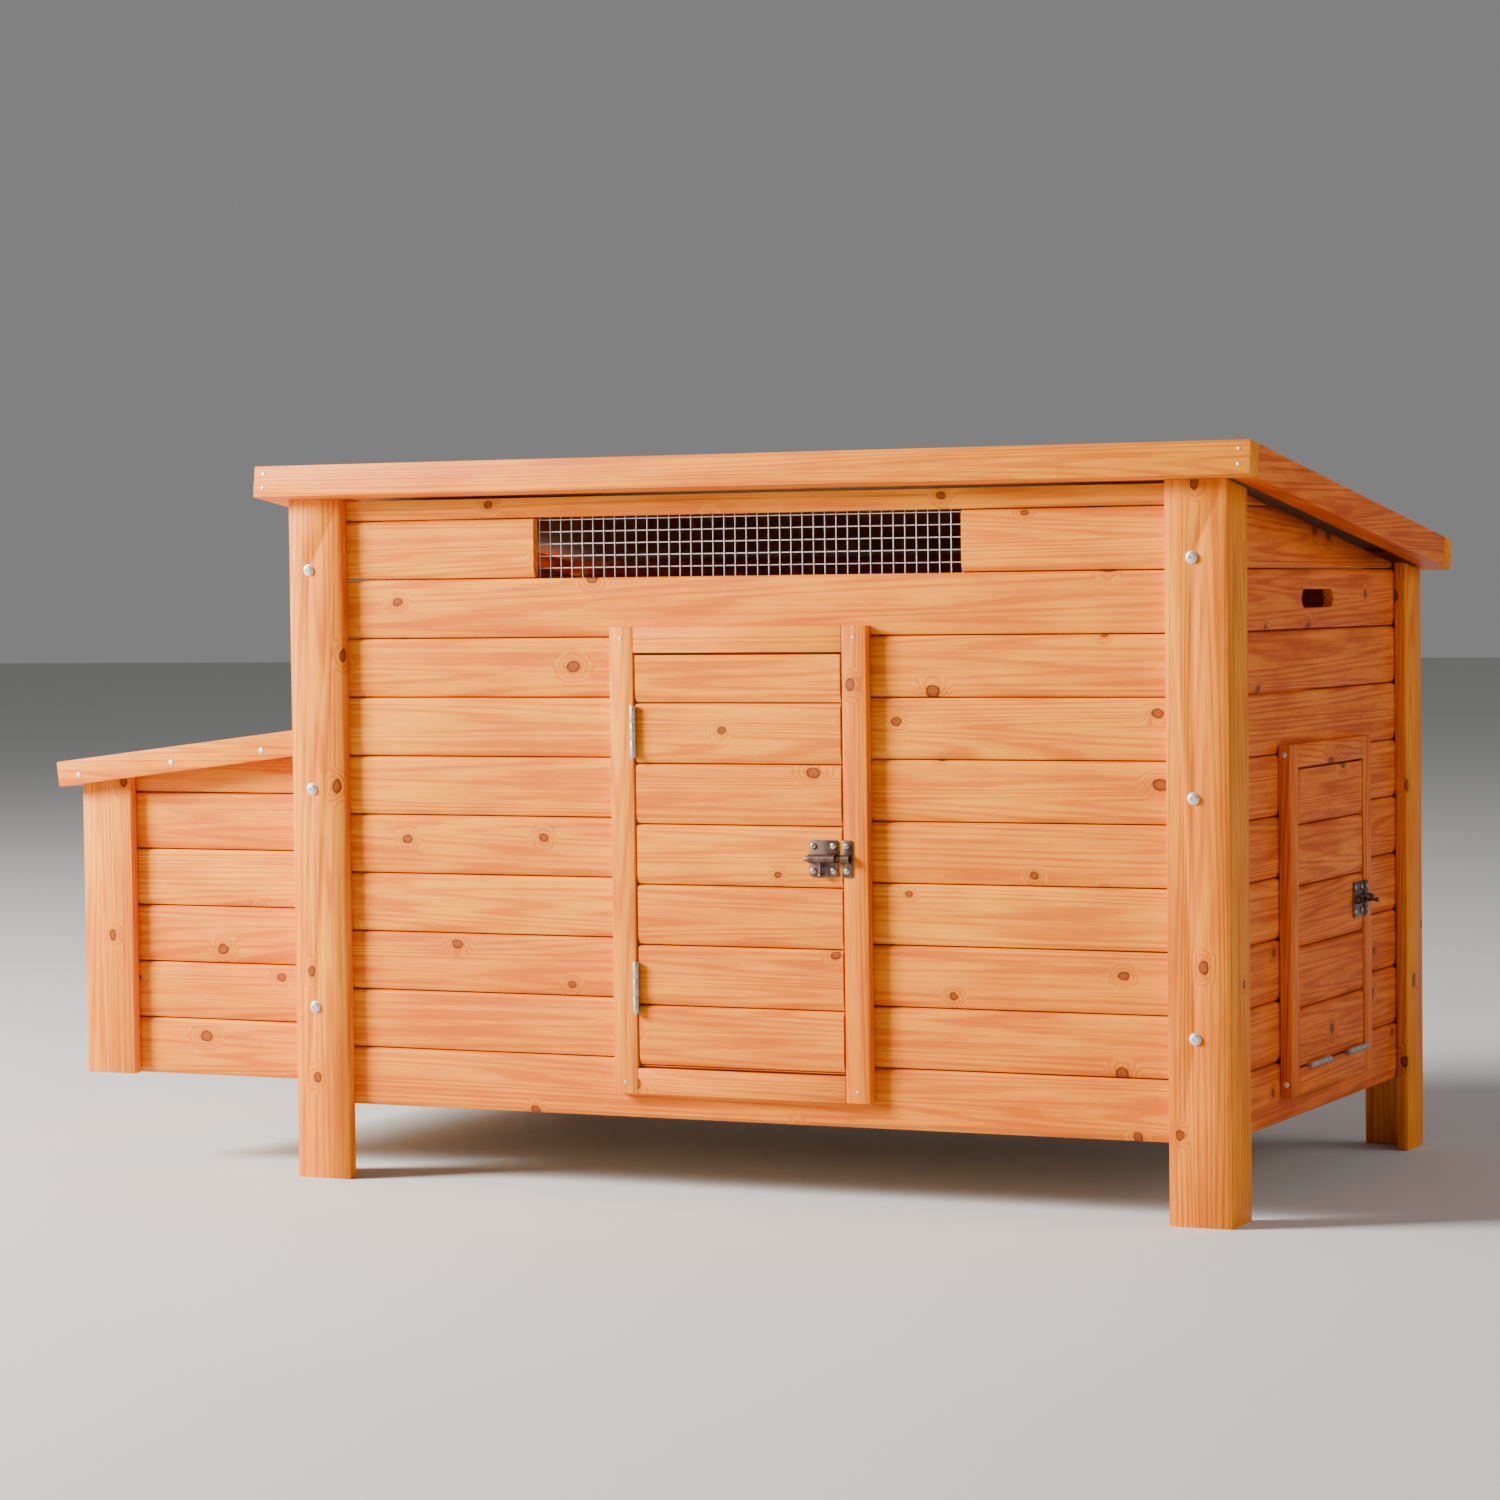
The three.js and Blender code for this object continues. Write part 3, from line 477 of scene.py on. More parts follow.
def dressed(name, node, material, body="coop", edge=0.0012, sharp=30):
    """A sawn piece copied from its solid, with every long edge eased."""
    source = frame["nodes"][node]
    piece = bpy.data.objects.new(name, source.data.copy())
    bpy.context.scene.collection.objects.link(piece)
    alone(piece)
    bpy.ops.mesh.customdata_custom_splitnormals_clear()
    bpy.ops.object.mode_set(mode="EDIT")
    bpy.ops.mesh.select_all(action="SELECT")
    bpy.ops.mesh.remove_doubles(threshold=1e-5)
    bpy.ops.mesh.dissolve_limited(angle_limit=math.radians(2))
    bpy.ops.object.mode_set(mode="OBJECT")
    ease = piece.modifiers.new("eased edges", "BEVEL")
    ease.width = edge
    ease.segments = 2
    ease.limit_method = "ANGLE"
    ease.angle_limit = math.radians(sharp)
    ease.harden_normals = False
    bpy.ops.object.modifier_apply(modifier=ease.name)
    bpy.ops.object.shade_smooth_by_angle(angle=math.radians(40))
    return fitted(piece, body, material, node)


for end in ("front", "back"):
    for side in ("left", "right"):
        dressed(f"{end}_{side}_corner_post", f"corner_post_{end}_{side}", upright_trim, edge=POST_EDGE)


# Post bolts. Zinc machine screws clamp the posts to the walls: a domed head with a cross
# recess on a flat washer.
WASHER_THICK = 0.0009
POST_BOLT_R = 0.0050
POST_WASHER_R = 0.0062
CROSS_TURN = 0.4


def post_bolt(name, centre, toward, *nodes):
    """A domed head on its washer, both standing off a post's face."""
    bpy.ops.mesh.primitive_cylinder_add(
        vertices=28, radius=POST_WASHER_R, depth=WASHER_THICK, location=(0, 0, WASHER_THICK / 2)
    )
    washer = bpy.context.object
    soften(washer, lambda p: p.z > 0, 0.0003, 2)
    radius, tall = POST_BOLT_R, POST_BOLT_R * 0.55
    bpy.ops.mesh.primitive_cylinder_add(
        vertices=24, radius=radius, depth=tall, location=(0, 0, WASHER_THICK + tall / 2)
    )
    head = bpy.context.object
    soften(head, lambda p: p.z > 0, radius * 0.38, 4)
    for turned_by in (CROSS_TURN, CROSS_TURN + math.pi / 2):
        bpy.ops.mesh.primitive_cube_add(
            size=1, location=(0, 0, WASHER_THICK + tall), rotation=(0, 0, turned_by)
        )
        recess = bpy.context.object
        recess.scale = (radius * 1.05, radius * 0.22, radius * 0.5)
        carved(head, recess)
    alone(washer, head)
    bpy.ops.object.join()
    fixing = bpy.context.object
    fixing.name = name
    bpy.ops.object.transform_apply()
    fixing.rotation_euler = Vector(toward).to_track_quat("Z", "Y").to_euler()
    fixing.location = centre
    bpy.ops.object.transform_apply()
    bpy.ops.object.shade_smooth_by_angle(angle=math.radians(35))
    return fitted(fixing, "coop", zinc, *nodes)


def copied(piece, name, offset, body, *nodes):
    """Another of the same piece, with its own mesh, moved by an offset."""
    twin = bpy.data.objects.new(name, piece.data.copy())
    bpy.context.scene.collection.objects.link(twin)
    alone(twin)
    twin.location = offset
    bpy.ops.object.transform_apply()
    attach(twin, body)
    if nodes:
        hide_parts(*nodes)
    return twin


post_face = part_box("corner_post_front_left")[0].y
first_bolt = None
for side in ("left", "right"):
    for level in ("low", "middle", "high"):
        node = f"post_bolt_{side}_{level}"
        low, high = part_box(node)
        centre = Vector(((low.x + high.x) / 2, post_face, (low.z + high.z) / 2))
        if first_bolt is None:
            first_bolt = post_bolt("front_post_bolt_left_low", centre, (0, -1, 0), node)
            first_centre = centre
        else:
            copied(first_bolt, f"front_post_bolt_{side}_{level}", centre - first_centre, "coop", node)
        rear = Vector((centre.x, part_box("corner_post_back_left")[1].y, centre.z))
        if level != "high":
            post_bolt(f"back_post_bolt_{side}_{level}", rear, (0, 1, 0))


# Floor. A bare plywood sheet lies inside the walls, and the nest box has a smaller one. Both are
# cut to fit between the boards and left without glaze.
def plywood_sheet():
    material, nodes, link, shader = surface("bare plywood")
    shader.inputs["Roughness"].default_value = 0.7
    stretch = nodes.new("ShaderNodeMapping")
    stretch.inputs["Scale"].default_value = (3.0, 60.0, 200.0)
    link(nodes.new("ShaderNodeTexCoord").outputs["Object"], stretch.inputs["Vector"])
    grain = stretch.outputs[0]
    speckled(nodes, link, shader, grain, 1.0, 4.0, (0.50, 0.32, 0.17), (0.76, 0.56, 0.35))
    return material


plywood = plywood_sheet()
SHEET_EDGE = 0.0006
dressed("house_floor", "floor_panel", plywood, edge=SHEET_EDGE)
dressed("nest_floor", "nest_floor", plywood, edge=SHEET_EDGE)


# Front door and its surround. Four flat boards frame the doorway, nailed over the planking; the
# door's own boards sit between them on two ledges.
long_trim = pine("long trim pine", "x", *TRIM_GLAZE, knot_share=0.35, knot_density=6.0)
dull_zinc = metal("dull zinc", (0.56, 0.57, 0.58), (0.36, 0.37, 0.38), 0.42)


def surround(title, stem, sides, upright, level):
    """The two stiles and two rails round a doorway."""
    edge = 0.0013
    for side in sides:
        dressed(f"{title}_surround_{side}", f"{stem}_stile_{side}", upright, edge=edge)
    for side in ("top", "bottom"):
        dressed(f"{title}_surround_{side}", f"{stem}_rail_{side}", level, edge=edge)


def hinge(title, stem, place, door):
    """A hinge's two leaves: the fixed one rides on the coop, the other on its door."""
    for leaf, body in (("fixed", "coop"), ("moving", door)):
        node = f"{stem}_hinge_{place}_{leaf}_leaf"
        dressed(f"{title}_{place}_hinge_{leaf}_leaf", node, dull_zinc, body, 0.00015, 50)


surround("door", "door", ("left", "right"), upright_trim, long_trim)
door_seam = ground + 0.0575
door_boards = pine("door board pine", "x", *GLAZE, seam=door_seam)
front_door = planking(
    "front_door_boards", door_low.x, door_high.x, door_low.z, door_high.z, door_seam, door_low.y
)
turned(front_door, 0, 0, 0)
fitted(front_door, "front_door", door_boards, "front_door")
for place in ("lower", "upper"):
    dressed(f"front_door_{place}_ledge", f"door_ledge_{place}", long_trim, "front_door", 0.002)
    hinge("front_door", "door", place, "front_door")


# Ramp door on the right-hand wall, hinged along its foot. Let down, its inner face is the ramp:
# rounded treads are screwed across it.
# The ramp door's boards, surround and treads take the darker glaze, as painted shade.
shaded_side_trim = pine("side trim pine with painted shade", "y", *SHADED_SIDE_GLAZE, knot_share=0.35, knot_density=6.0)
shaded_side_upright_trim = pine("side upright trim pine with painted shade", "z", *SHADED_SIDE_GLAZE, knot_share=0.6, knot_density=7.0)
surround("ramp_door", "pop_door", ("front", "rear"), shaded_side_upright_trim, shaded_side_trim)
pop_seam = ground + 0.052
shaded_pop_boards = pine("ramp door board pine with painted shade", "y", *SHADED_SIDE_GLAZE, seam=pop_seam)
pop_door = planking("ramp_door_boards", pop_low.y, pop_high.y, pop_low.z, pop_high.z, pop_seam)
turned(pop_door, 1, pop_high.x, 0)
fitted(pop_door, "pop_door", shaded_pop_boards, "pop_door")


def batten(name, low, high, edge, material, body):
    """A planed batten between two corners, its edges rounded."""
    piece = block(low, high)
    piece.name = name
    soften(piece, lambda p: True, edge, 3)
    bpy.ops.object.transform_apply()
    bpy.ops.object.shade_smooth_by_angle(angle=math.radians(40))
    return fitted(piece, body, material)


TREADS = 4
TREAD_HALF = 0.007
TREAD_DEEP = 0.012
TREAD_INSET = 0.016
for tread in range(TREADS):
    height = pop_low.z + (tread + 0.7) * (pop_high.z - pop_low.z) / (TREADS + 0.4)
    batten(
        f"ramp_tread_{tread + 1}",
        (pop_low.x - TREAD_DEEP, pop_low.y + TREAD_INSET, height - TREAD_HALF),
        (pop_low.x - 0.0002, pop_high.y - TREAD_INSET, height + TREAD_HALF),
        0.002,
        shaded_side_trim,
        "pop_door",
    )
for place in ("front", "rear"):
    hinge("ramp_door", "pop_door", place, "pop_door")


# Barrel bolts. Pressed brass with a worn antique finish: a plate with a rolled barrel on the
# door, a rod with a ball-ended lever, and a looped keep on the surround, each screwed down.
brass = metal("antique brass", (0.22, 0.135, 0.100), (0.080, 0.048, 0.038), 0.36, 90.0)
rubbed_brass = metal("rubbed brass", (0.62, 0.52, 0.42), (0.30, 0.23, 0.17), 0.30, 90.0)
PLATE_WIDE, PLATE_TALL, PLATE_SHEET = 0.032, 0.038, 0.0012
KEEP_LEFT, KEEP_RIGHT = 0.0045, 0.0165
BARREL_R, ROD_R, LEVER_R, BALL_R = 0.0044, 0.0028, 0.0015, 0.0027
ROD_Y, ROD_TAIL, ROD_TIP = -0.0056, 0.004, 0.008
LEVER_X, LEVER_HANGING, LEVER_STANDING = -0.0175, 0.017, 0.0165
SCREW_UP, SCREW_INSET, SCREW_TALL = 0.0128, 0.0047, 0.0016


def pressed_plate(left, right, bottom, top):
    """A thin plate with rounded corners, its back at y = 0, facing -y."""
    plate = block((left, -PLATE_SHEET, bottom), (right, 0, top))
    round_corners(plate, 0.0028, 4)
    bpy.ops.object.transform_apply()
    soften(plate, lambda p: p.y < -PLATE_SHEET * 0.9, 0.0003, 2)
    return plate


def round_bar(middle, length, out, radius, vertices=32):
    """A cylinder along x."""
    bpy.ops.mesh.primitive_cylinder_add(
        vertices=vertices,
        radius=radius,
        depth=length,
        location=(middle, out, 0),
        rotation=(0, math.pi / 2, 0),
    )
    return bpy.context.object


def rolled_loop(left, right, out, inner, outer):
    """Sheet rolled round a rod along x: an arch that runs back to the plate on both sides."""
    middle, length = (left + right) / 2, right - left
    barrel = round_bar(middle, length, out, outer)
    bpy.ops.object.transform_apply()
    bpy.ops.mesh.primitive_cube_add(size=1, location=(middle, out / 2, 0))
    web = bpy.context.object
    web.scale = (length, -out - 0.0002, 2 * outer)
    bpy.ops.object.transform_apply()
    bore = round_bar(middle, 2 * length, out, inner)
    carved(barrel, web, "UNION")
    carved(barrel, bore)
    return barrel


def brass_screws(places):
    """Slotted heads on a plate's face, each slot left at its own angle."""
    heads = []
    for x, z in places:
        bpy.ops.mesh.primitive_cylinder_add(
            vertices=20,
            radius=0.0034,
            depth=SCREW_TALL,
            location=(x, -PLATE_SHEET - SCREW_TALL / 2, z),
            rotation=(math.pi / 2, 0, 0),
        )
        head = bpy.context.object
        bpy.ops.object.transform_apply()
        soften(head, lambda p: p.y < -PLATE_SHEET - SCREW_TALL * 0.9, 0.0012, 3)
        bpy.ops.mesh.primitive_cube_add(
            size=1, location=(x, -PLATE_SHEET - SCREW_TALL, z), rotation=(0, 0.7 * x * 900, 0)
        )
        kerf = bpy.context.object
        kerf.scale = (0.0056, 0.0014, 0.0008)
        carved(head, kerf)
        head.data.materials.clear()
        head.data.materials.append(rubbed_brass)
        heads.append(head)
    return heads


def finished(name, parts, quarter_turns, place, body, material, *nodes):
    """Joins a fitting's parts, made facing -y about the origin, and takes them to their place."""
    for part in parts:
        if not [m for m in part.data.materials if m]:
            part.data.materials.clear()
            part.data.materials.append(material)
    alone(*parts)
    bpy.ops.object.join()
    piece = bpy.context.object
    piece.name = name
    bpy.ops.object.transform_apply()
    piece.rotation_euler = (0, 0, quarter_turns * math.pi / 2)
    piece.location = place
    bpy.ops.object.transform_apply()
    bpy.ops.object.shade_smooth_by_angle(angle=math.radians(35))
    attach(piece, body)
    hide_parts(*nodes)
    return piece


def barrel_bolt(title, stem, body, rod_body, quarter_turns, face, surround_face, edge, height, lever_down):
    """One bolt: x = 0 is the plate's end by the door's edge and y = 0 the face it sits on.

    The lever hangs down, or sticks straight out where lever_down is false.
    """
    place = (*edge(face), height)
    keep_place = (*edge(surround_face), height)
    plate = pressed_plate(-PLATE_WIDE, 0, -PLATE_TALL / 2, PLATE_TALL / 2)
    barrel = rolled_loop(-PLATE_WIDE + 0.001, -0.001, ROD_Y, ROD_R + 0.0003, BARREL_R)
    bpy.ops.mesh.primitive_cube_add(size=1)
    slot = bpy.context.object
    slot_x = LEVER_X - 0.005
    long, wide, deep = 0.0155, 0.0056, 0.012
    slot.scale = (long, wide, deep) if lever_down else (long, deep, wide)
    slot.location = (slot_x, ROD_Y, -deep / 2) if lever_down else (slot_x, ROD_Y - deep / 2, 0)
    carved(barrel, slot)
    ends = (-PLATE_WIDE + SCREW_INSET, -SCREW_INSET)
    screws = brass_screws([(x, z) for z in (SCREW_UP, -SCREW_UP) for x in ends])
    parts = [plate, barrel, *screws]
    finished(f"{title}_bolt_plate", parts, quarter_turns, place, body, brass, f"{stem}_latch_barrel")

    keep_plate = pressed_plate(KEEP_LEFT, KEEP_RIGHT, -PLATE_TALL / 2, PLATE_TALL / 2)
    loop = rolled_loop(KEEP_LEFT + 0.0015, KEEP_RIGHT - 0.0015, ROD_Y + 0.001, ROD_R + 0.0005, BARREL_R)
    middle = (KEEP_LEFT + KEEP_RIGHT) / 2
    parts = [keep_plate, loop, *brass_screws([(middle, SCREW_UP), (middle, -SCREW_UP)])]
    finished(f"{title}_bolt_keep", parts, quarter_turns, keep_place, "coop", brass, f"{stem}_latch_keep")

    rod_left, rod_right = -PLATE_WIDE - ROD_TAIL, KEEP_LEFT + ROD_TIP
    rod = round_bar((rod_left + rod_right) / 2, rod_right - rod_left, ROD_Y, ROD_R, 28)
    bpy.ops.object.transform_apply(location=False)
    soften(rod, lambda p: abs(p.x) > (rod_right - rod_left) * 0.49, 0.0011, 3)
    reach = LEVER_HANGING if lever_down else LEVER_STANDING
    tip = (LEVER_X, ROD_Y, -reach) if lever_down else (LEVER_X, ROD_Y - reach, 0)
    halfway = (LEVER_X, ROD_Y, -reach / 2) if lever_down else (LEVER_X, ROD_Y - reach / 2, 0)
    turn = (0, 0, 0) if lever_down else (math.pi / 2, 0, 0)
    bpy.ops.mesh.primitive_cylinder_add(
        vertices=16, radius=LEVER_R, depth=reach, location=halfway, rotation=turn
    )
    lever = bpy.context.object
    bpy.ops.mesh.primitive_uv_sphere_add(segments=20, ring_count=12, radius=BALL_R, location=tip)
    ball = bpy.context.object
    parts = [rod, lever, ball]
    finished(f"{title}_bolt_rod", parts, quarter_turns, place, rod_body, brass, f"{stem}_latch_bolt")


def middle_height(node):
    low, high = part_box(node)
    return (low.z + high.z) / 2


SEAT = 0.0003
front_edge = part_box("door_latch_barrel")[1].x
barrel_bolt(
    "front_door", "door", "front_door", "door_bolt", 0,
    door_low.y - SEAT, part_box("door_stile_right")[0].y - SEAT,
    lambda face: (front_edge, face), middle_height("door_latch_barrel"), True,
)
pop_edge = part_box("pop_door_latch_barrel")[1].y
barrel_bolt(
    "ramp_door", "pop_door", "pop_door", "pop_bolt", 1,
    pop_high.x + SEAT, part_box("pop_door_stile_rear")[1].x + SEAT,
    lambda face: (face, pop_edge), middle_height("pop_door_latch_barrel"), False,
)


# Perch. A round-edged bar runs from side wall to side wall above the ramp door, its ends on
# cleats screwed to the boards.
deep_trim = pine("deep trim pine", "y", *TRIM_GLAZE, knot_share=0.35, knot_density=6.0)
PERCH_HALF, PERCH_TALL = 0.017, 0.030
CLEAT_HALF, CLEAT_TALL, CLEAT_THICK = 0.045, 0.035, 0.020
perch_y = (front_y + back_y) / 2
perch_low = ground + 0.420
inner_left, inner_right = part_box("left_wall")[1].x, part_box("right_wall")[0].x
batten(
    "perch",
    (inner_left + 0.0005, perch_y - PERCH_HALF, perch_low),
    (inner_right - 0.0005, perch_y + PERCH_HALF, perch_low + PERCH_TALL),
    0.007,
    long_trim,
    "coop",
)
for side, wall_x, inward in (("left", inner_left, 1), ("right", inner_right, -1)):
    near, far = sorted((wall_x + inward * SEAT, wall_x + inward * CLEAT_THICK))
    batten(
        f"perch_cleat_{side}",
        (near, perch_y - CLEAT_HALF, perch_low - CLEAT_TALL),
        (far, perch_y + CLEAT_HALF, perch_low - SEAT),
        0.0015,
        deep_trim,
        "coop",
    )


# Roof. Four planed rails frame a deck covered with dark mineral felt laid in overlapping strips;
# it tips up on hinges at the back.
def roofing_felt():
    material, nodes, link, shader = surface("mineral felt")
    shader.inputs["Roughness"].default_value = 0.92
    where = nodes.new("ShaderNodeTexCoord").outputs["Object"]
    pits, grains = (0.018, 0.026, 0.022), (0.095, 0.125, 0.105)
    grit = speckled(nodes, link, shader, where, 900.0, 3.0, pits, grains, 0.38, 0.66)
    bump = nodes.new("ShaderNodeBump")
    bump.inputs["Strength"].default_value = 0.5
    bump.inputs["Distance"].default_value = 0.0008
    link(grit, bump.inputs["Height"])
    link(bump.outputs[0], shader.inputs["Normal"])
    return material


felt = roofing_felt()
RAIL_EDGE = 0.0016
dressed("roof_front_rail", "roof_rail_front", long_trim, "roof", RAIL_EDGE)
dressed("roof_rear_rail", "roof_rail_rear", long_trim, "roof", RAIL_EDGE)
dressed("roof_left_rail", "roof_rail_left", deep_trim, "roof", RAIL_EDGE)
# The right rail takes the darker side trim, as painted shade.
dressed("roof_right_rail", "roof_rail_right", shaded_side_trim, "roof", RAIL_EDGE)
dressed("roof_deck", "roof_deck", plywood, "roof", SHEET_EDGE)
dressed("roof_felt", "roof_felt", felt, "roof", 0.0005)
tilt = math.atan(slope)
felt_low, felt_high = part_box("roof_felt")
felt_middle = (felt_low + felt_high) / 2
felt_length = (felt_high.y - felt_low.y) / math.cos(tilt)
LAP_LONG = 0.070
LAP_LOW, LAP_HIGH = 0.0010, 0.0026


def tilted_sheet(low, high, tilted, about):
    """A thin sheet between two corners, turned and then moved to a point."""
    sheet = block(low, high)
    soften(sheet, lambda p: True, 0.0003, 1)
    bpy.ops.object.transform_apply()
    sheet.rotation_euler = tilted
    sheet.location = about
    bpy.ops.object.transform_apply()
    return sheet


for place, share in (("front", -0.17), ("rear", 0.17)):
    lap = tilted_sheet(
        (felt_low.x + 0.001 - felt_middle.x, share * felt_length - LAP_LONG / 2, LAP_LOW),
        (felt_high.x - 0.001 - felt_middle.x, share * felt_length + LAP_LONG / 2, LAP_HIGH),
        (-tilt, 0, 0),
        felt_middle,
    )
    lap.name = f"felt_lap_{place}"
    fitted(lap, "roof", felt)


# Nest box. Boarded like the house, on two L-shaped corner posts, and split by an upright divider.
# Its front and back walls are sawn off along the slope of the lid.
LID_TILT = math.radians(6.8)
nest_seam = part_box("nest_front_wall")[0].z
nest_boards = pine("nest board pine", "x", *GLAZE, seam=nest_seam)
nest_end_boards = pine("nest end board pine", "y", *GLAZE, seam=nest_seam)
for place, quarter_turns in (("front", 0), ("back", 2)):
    low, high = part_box(f"nest_{place}_wall")
    if place == "front":
        wall = planking("nest_front_boards", low.x, high.x, low.z, high.z, low.z)
        turned(wall, 0, 0, low.y)
    else:
        wall = planking("nest_back_boards", -high.x, -low.x, low.z, high.z, low.z)
        turned(wall, 2, 0, high.y)
    trimmed(wall, (high.x, 0, high.z), (-math.tan(LID_TILT), 0, 1))
    fitted(wall, "coop", nest_boards, f"nest_{place}_wall")
low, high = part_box("nest_end_wall")
nest_end = planking("nest_end_boards", -high.y, -low.y, low.z, high.z, low.z)
turned(nest_end, 3, low.x, 0)
fitted(nest_end, "coop", nest_end_boards, "nest_end_wall")
dressed("nest_front_post", "nest_post_front", upright_trim, edge=POST_EDGE)
dressed("nest_back_post", "nest_post_back", upright_trim, edge=POST_EDGE)
dressed("nest_divider", "nest_divider", long_trim, edge=0.001)
dressed("nest_lid_hinge_rail", "lid_hinge_rail", deep_trim, edge=0.0015)


# Nest lid. One panel inside three battens slopes away from the house and lifts on hinges at its
# upper edge.
dressed("nest_lid_front_batten", "lid_batten_front", long_trim, "nest_lid", RAIL_EDGE)
dressed("nest_lid_back_batten", "lid_batten_back", long_trim, "nest_lid", RAIL_EDGE)
dressed("nest_lid_end_batten", "lid_batten_end", deep_trim, "nest_lid", RAIL_EDGE)
dressed("nest_lid_panel", "lid_panel", deep_trim, "nest_lid", 0.001)


# Lid and roof hinges. Zinc butt hinges: a screwed leaf on each side of a rolled knuckle whose
# pin is the line the lid or the roof turns about.
def knuckle(length, radius, turn, about):
    """One rolled barrel of a hinge, round its pin."""
    bpy.ops.mesh.primitive_cylinder_add(
        vertices=20, radius=radius, depth=length, location=about, rotation=turn
    )
    roll = bpy.context.object
    bpy.ops.object.transform_apply()
    return roll


def hinge_leaf(name, parts, body):
    """Joins a leaf's sheet and knuckles into one piece on its body."""
    alone(*parts)
    bpy.ops.object.join()
    leaf = bpy.context.object
    leaf.name = name
    bpy.ops.object.transform_apply()
    bpy.ops.object.shade_smooth_by_angle(angle=math.radians(40))
    return fitted(leaf, body, dull_zinc)


LEAF = 0.0011
LID_HINGE_INSET, LID_LEAF_HALF, LID_KNUCKLE_R, LID_KNUCKLE = 0.09, 0.030, 0.0023, 0.019
ROOF_HINGE_INSET, ROOF_LEAF_HALF, ROOF_KNUCKLE_R = 0.032, 0.027, 0.0030
LEAF_WIDE = 0.026
joints = {joint["name"]: joint for joint in frame["joints"]}
lid_low, lid_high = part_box("lid_panel")
lid_pin = Vector(joints["nest_lid_hinge"]["pos_m"])
rail_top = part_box("lid_hinge_rail")[1].z
lid_hinge_places = (("front", lid_low.y + LID_HINGE_INSET), ("back", lid_high.y - LID_HINGE_INSET))
for place, y in lid_hinge_places:
    half = LID_LEAF_HALF
    about = Vector((lid_pin.x, y, lid_pin.z))
    moving = [
        tilted_sheet((-LEAF_WIDE, -half, 0.0002), (0.0, half, LEAF), (0, -LID_TILT, 0), about),
        knuckle(LID_KNUCKLE, LID_KNUCKLE_R, (math.pi / 2, 0, 0), about),
    ]
    hinge_leaf(f"nest_lid_{place}_hinge_moving_leaf", moving, "nest_lid")
    above = Vector((lid_pin.x, y, rail_top))
    fixed = [tilted_sheet((0.001, -half, 0.0001), (0.0135, half, LEAF), (0, 0, 0), above)]
    for way in (-1, 1):
        end = about + Vector((0, way * 0.020, 0))
        fixed.append(knuckle(LID_KNUCKLE, LID_KNUCKLE_R, (math.pi / 2, 0, 0), end))
    hinge_leaf(f"nest_lid_{place}_hinge_fixed_leaf", fixed, "coop")

roof_pin = Vector(joints["roof_hinge"]["pos_m"])
post_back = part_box("corner_post_back_left")[1].y
roof_hinge_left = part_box("corner_post_back_left")[0].x + ROOF_HINGE_INSET
roof_hinge_places = (("left", roof_hinge_left), ("right", 2 * house_middle - roof_hinge_left))
for side, x in roof_hinge_places:
    half = ROOF_LEAF_HALF
    about = Vector((x, roof_pin.y, roof_pin.z))
    against = Vector((x, post_back, roof_pin.z))
    fixed = [tilted_sheet((-half, 0.0001, -0.032), (half, LEAF, 0.001), (0, 0, 0), against)]
    for way in (-1, 1):
        end = about + Vector((way * 0.0185, 0, 0))
        fixed.append(knuckle(0.017, ROOF_KNUCKLE_R, (0, math.pi / 2, 0), end))
    hinge_leaf(f"roof_{side}_hinge_fixed_leaf", fixed, "coop")
    moving = [
        tilted_sheet((-half, -0.001, 0.0024), (half, 0.0085, 0.0024 + LEAF), (-tilt, 0, 0), about),
        knuckle(0.018, ROOF_KNUCKLE_R, (0, math.pi / 2, 0), about),
    ]
    hinge_leaf(f"roof_{side}_hinge_moving_leaf", moving, "roof")


# Wood screws and nails. Small rounded zinc heads hold the hinge leaves, the lid's front batten,
# the surrounds and the roof's front rail.
def nail(name, centre, radius, toward, body):
    """A small head with a rounded rim, on a surface that faces toward."""
    bpy.ops.mesh.primitive_cylinder_add(vertices=16, radius=radius, depth=0.0010, location=(0, 0, 0.0001))
    head = bpy.context.object
    bpy.ops.object.transform_apply()
    soften(head, lambda p: p.z > 0, 0.0004, 2)
    head.name = name
    head.rotation_euler = Vector(toward).normalized().to_track_quat("Z", "Y").to_euler()
    head.location = centre
    bpy.ops.object.transform_apply()
    bpy.ops.object.shade_smooth_by_angle(angle=math.radians(40))
    return fitted(head, body, zinc)


ROOF_SCREW_OUT = 0.017
LID_SCREW_OUT = 0.020
BATTEN_SCREWS = (-0.822, -0.700, -0.583)
for side, x in roof_hinge_places:
    for number, along_x in enumerate((-ROOF_SCREW_OUT, ROOF_SCREW_OUT), 1):
        head = (x + along_x, post_back + LEAF, roof_pin.z - 0.018)
        nail(f"roof_{side}_hinge_screw_{number}", head, 0.0030, (0, 1, 0), "coop")
lid_up = Vector((-math.sin(LID_TILT), 0, math.cos(LID_TILT)))
lid_down = Vector((-math.cos(LID_TILT), 0, -math.sin(LID_TILT)))
for place, y in lid_hinge_places:
    for number, along_y in enumerate((-LID_SCREW_OUT, LID_SCREW_OUT), 1):
        head = Vector((lid_pin.x, y + along_y, lid_pin.z)) + lid_down * 0.016 + lid_up * LEAF
        nail(f"nest_lid_{place}_hinge_screw_{number}", head, 0.0028, lid_up, "nest_lid")
batten_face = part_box("lid_batten_front")[0].y
for number, along_x in enumerate(BATTEN_SCREWS, 1):
    x = house_middle + along_x
    z = lid_pin.z - (lid_pin.x - x) * math.tan(LID_TILT) - 0.0175
    nail(f"nest_lid_screw_{number}", (x, batten_face, z), 0.0029, (0, -1, 0), "nest_lid")
rail_low, rail_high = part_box("roof_rail_front")
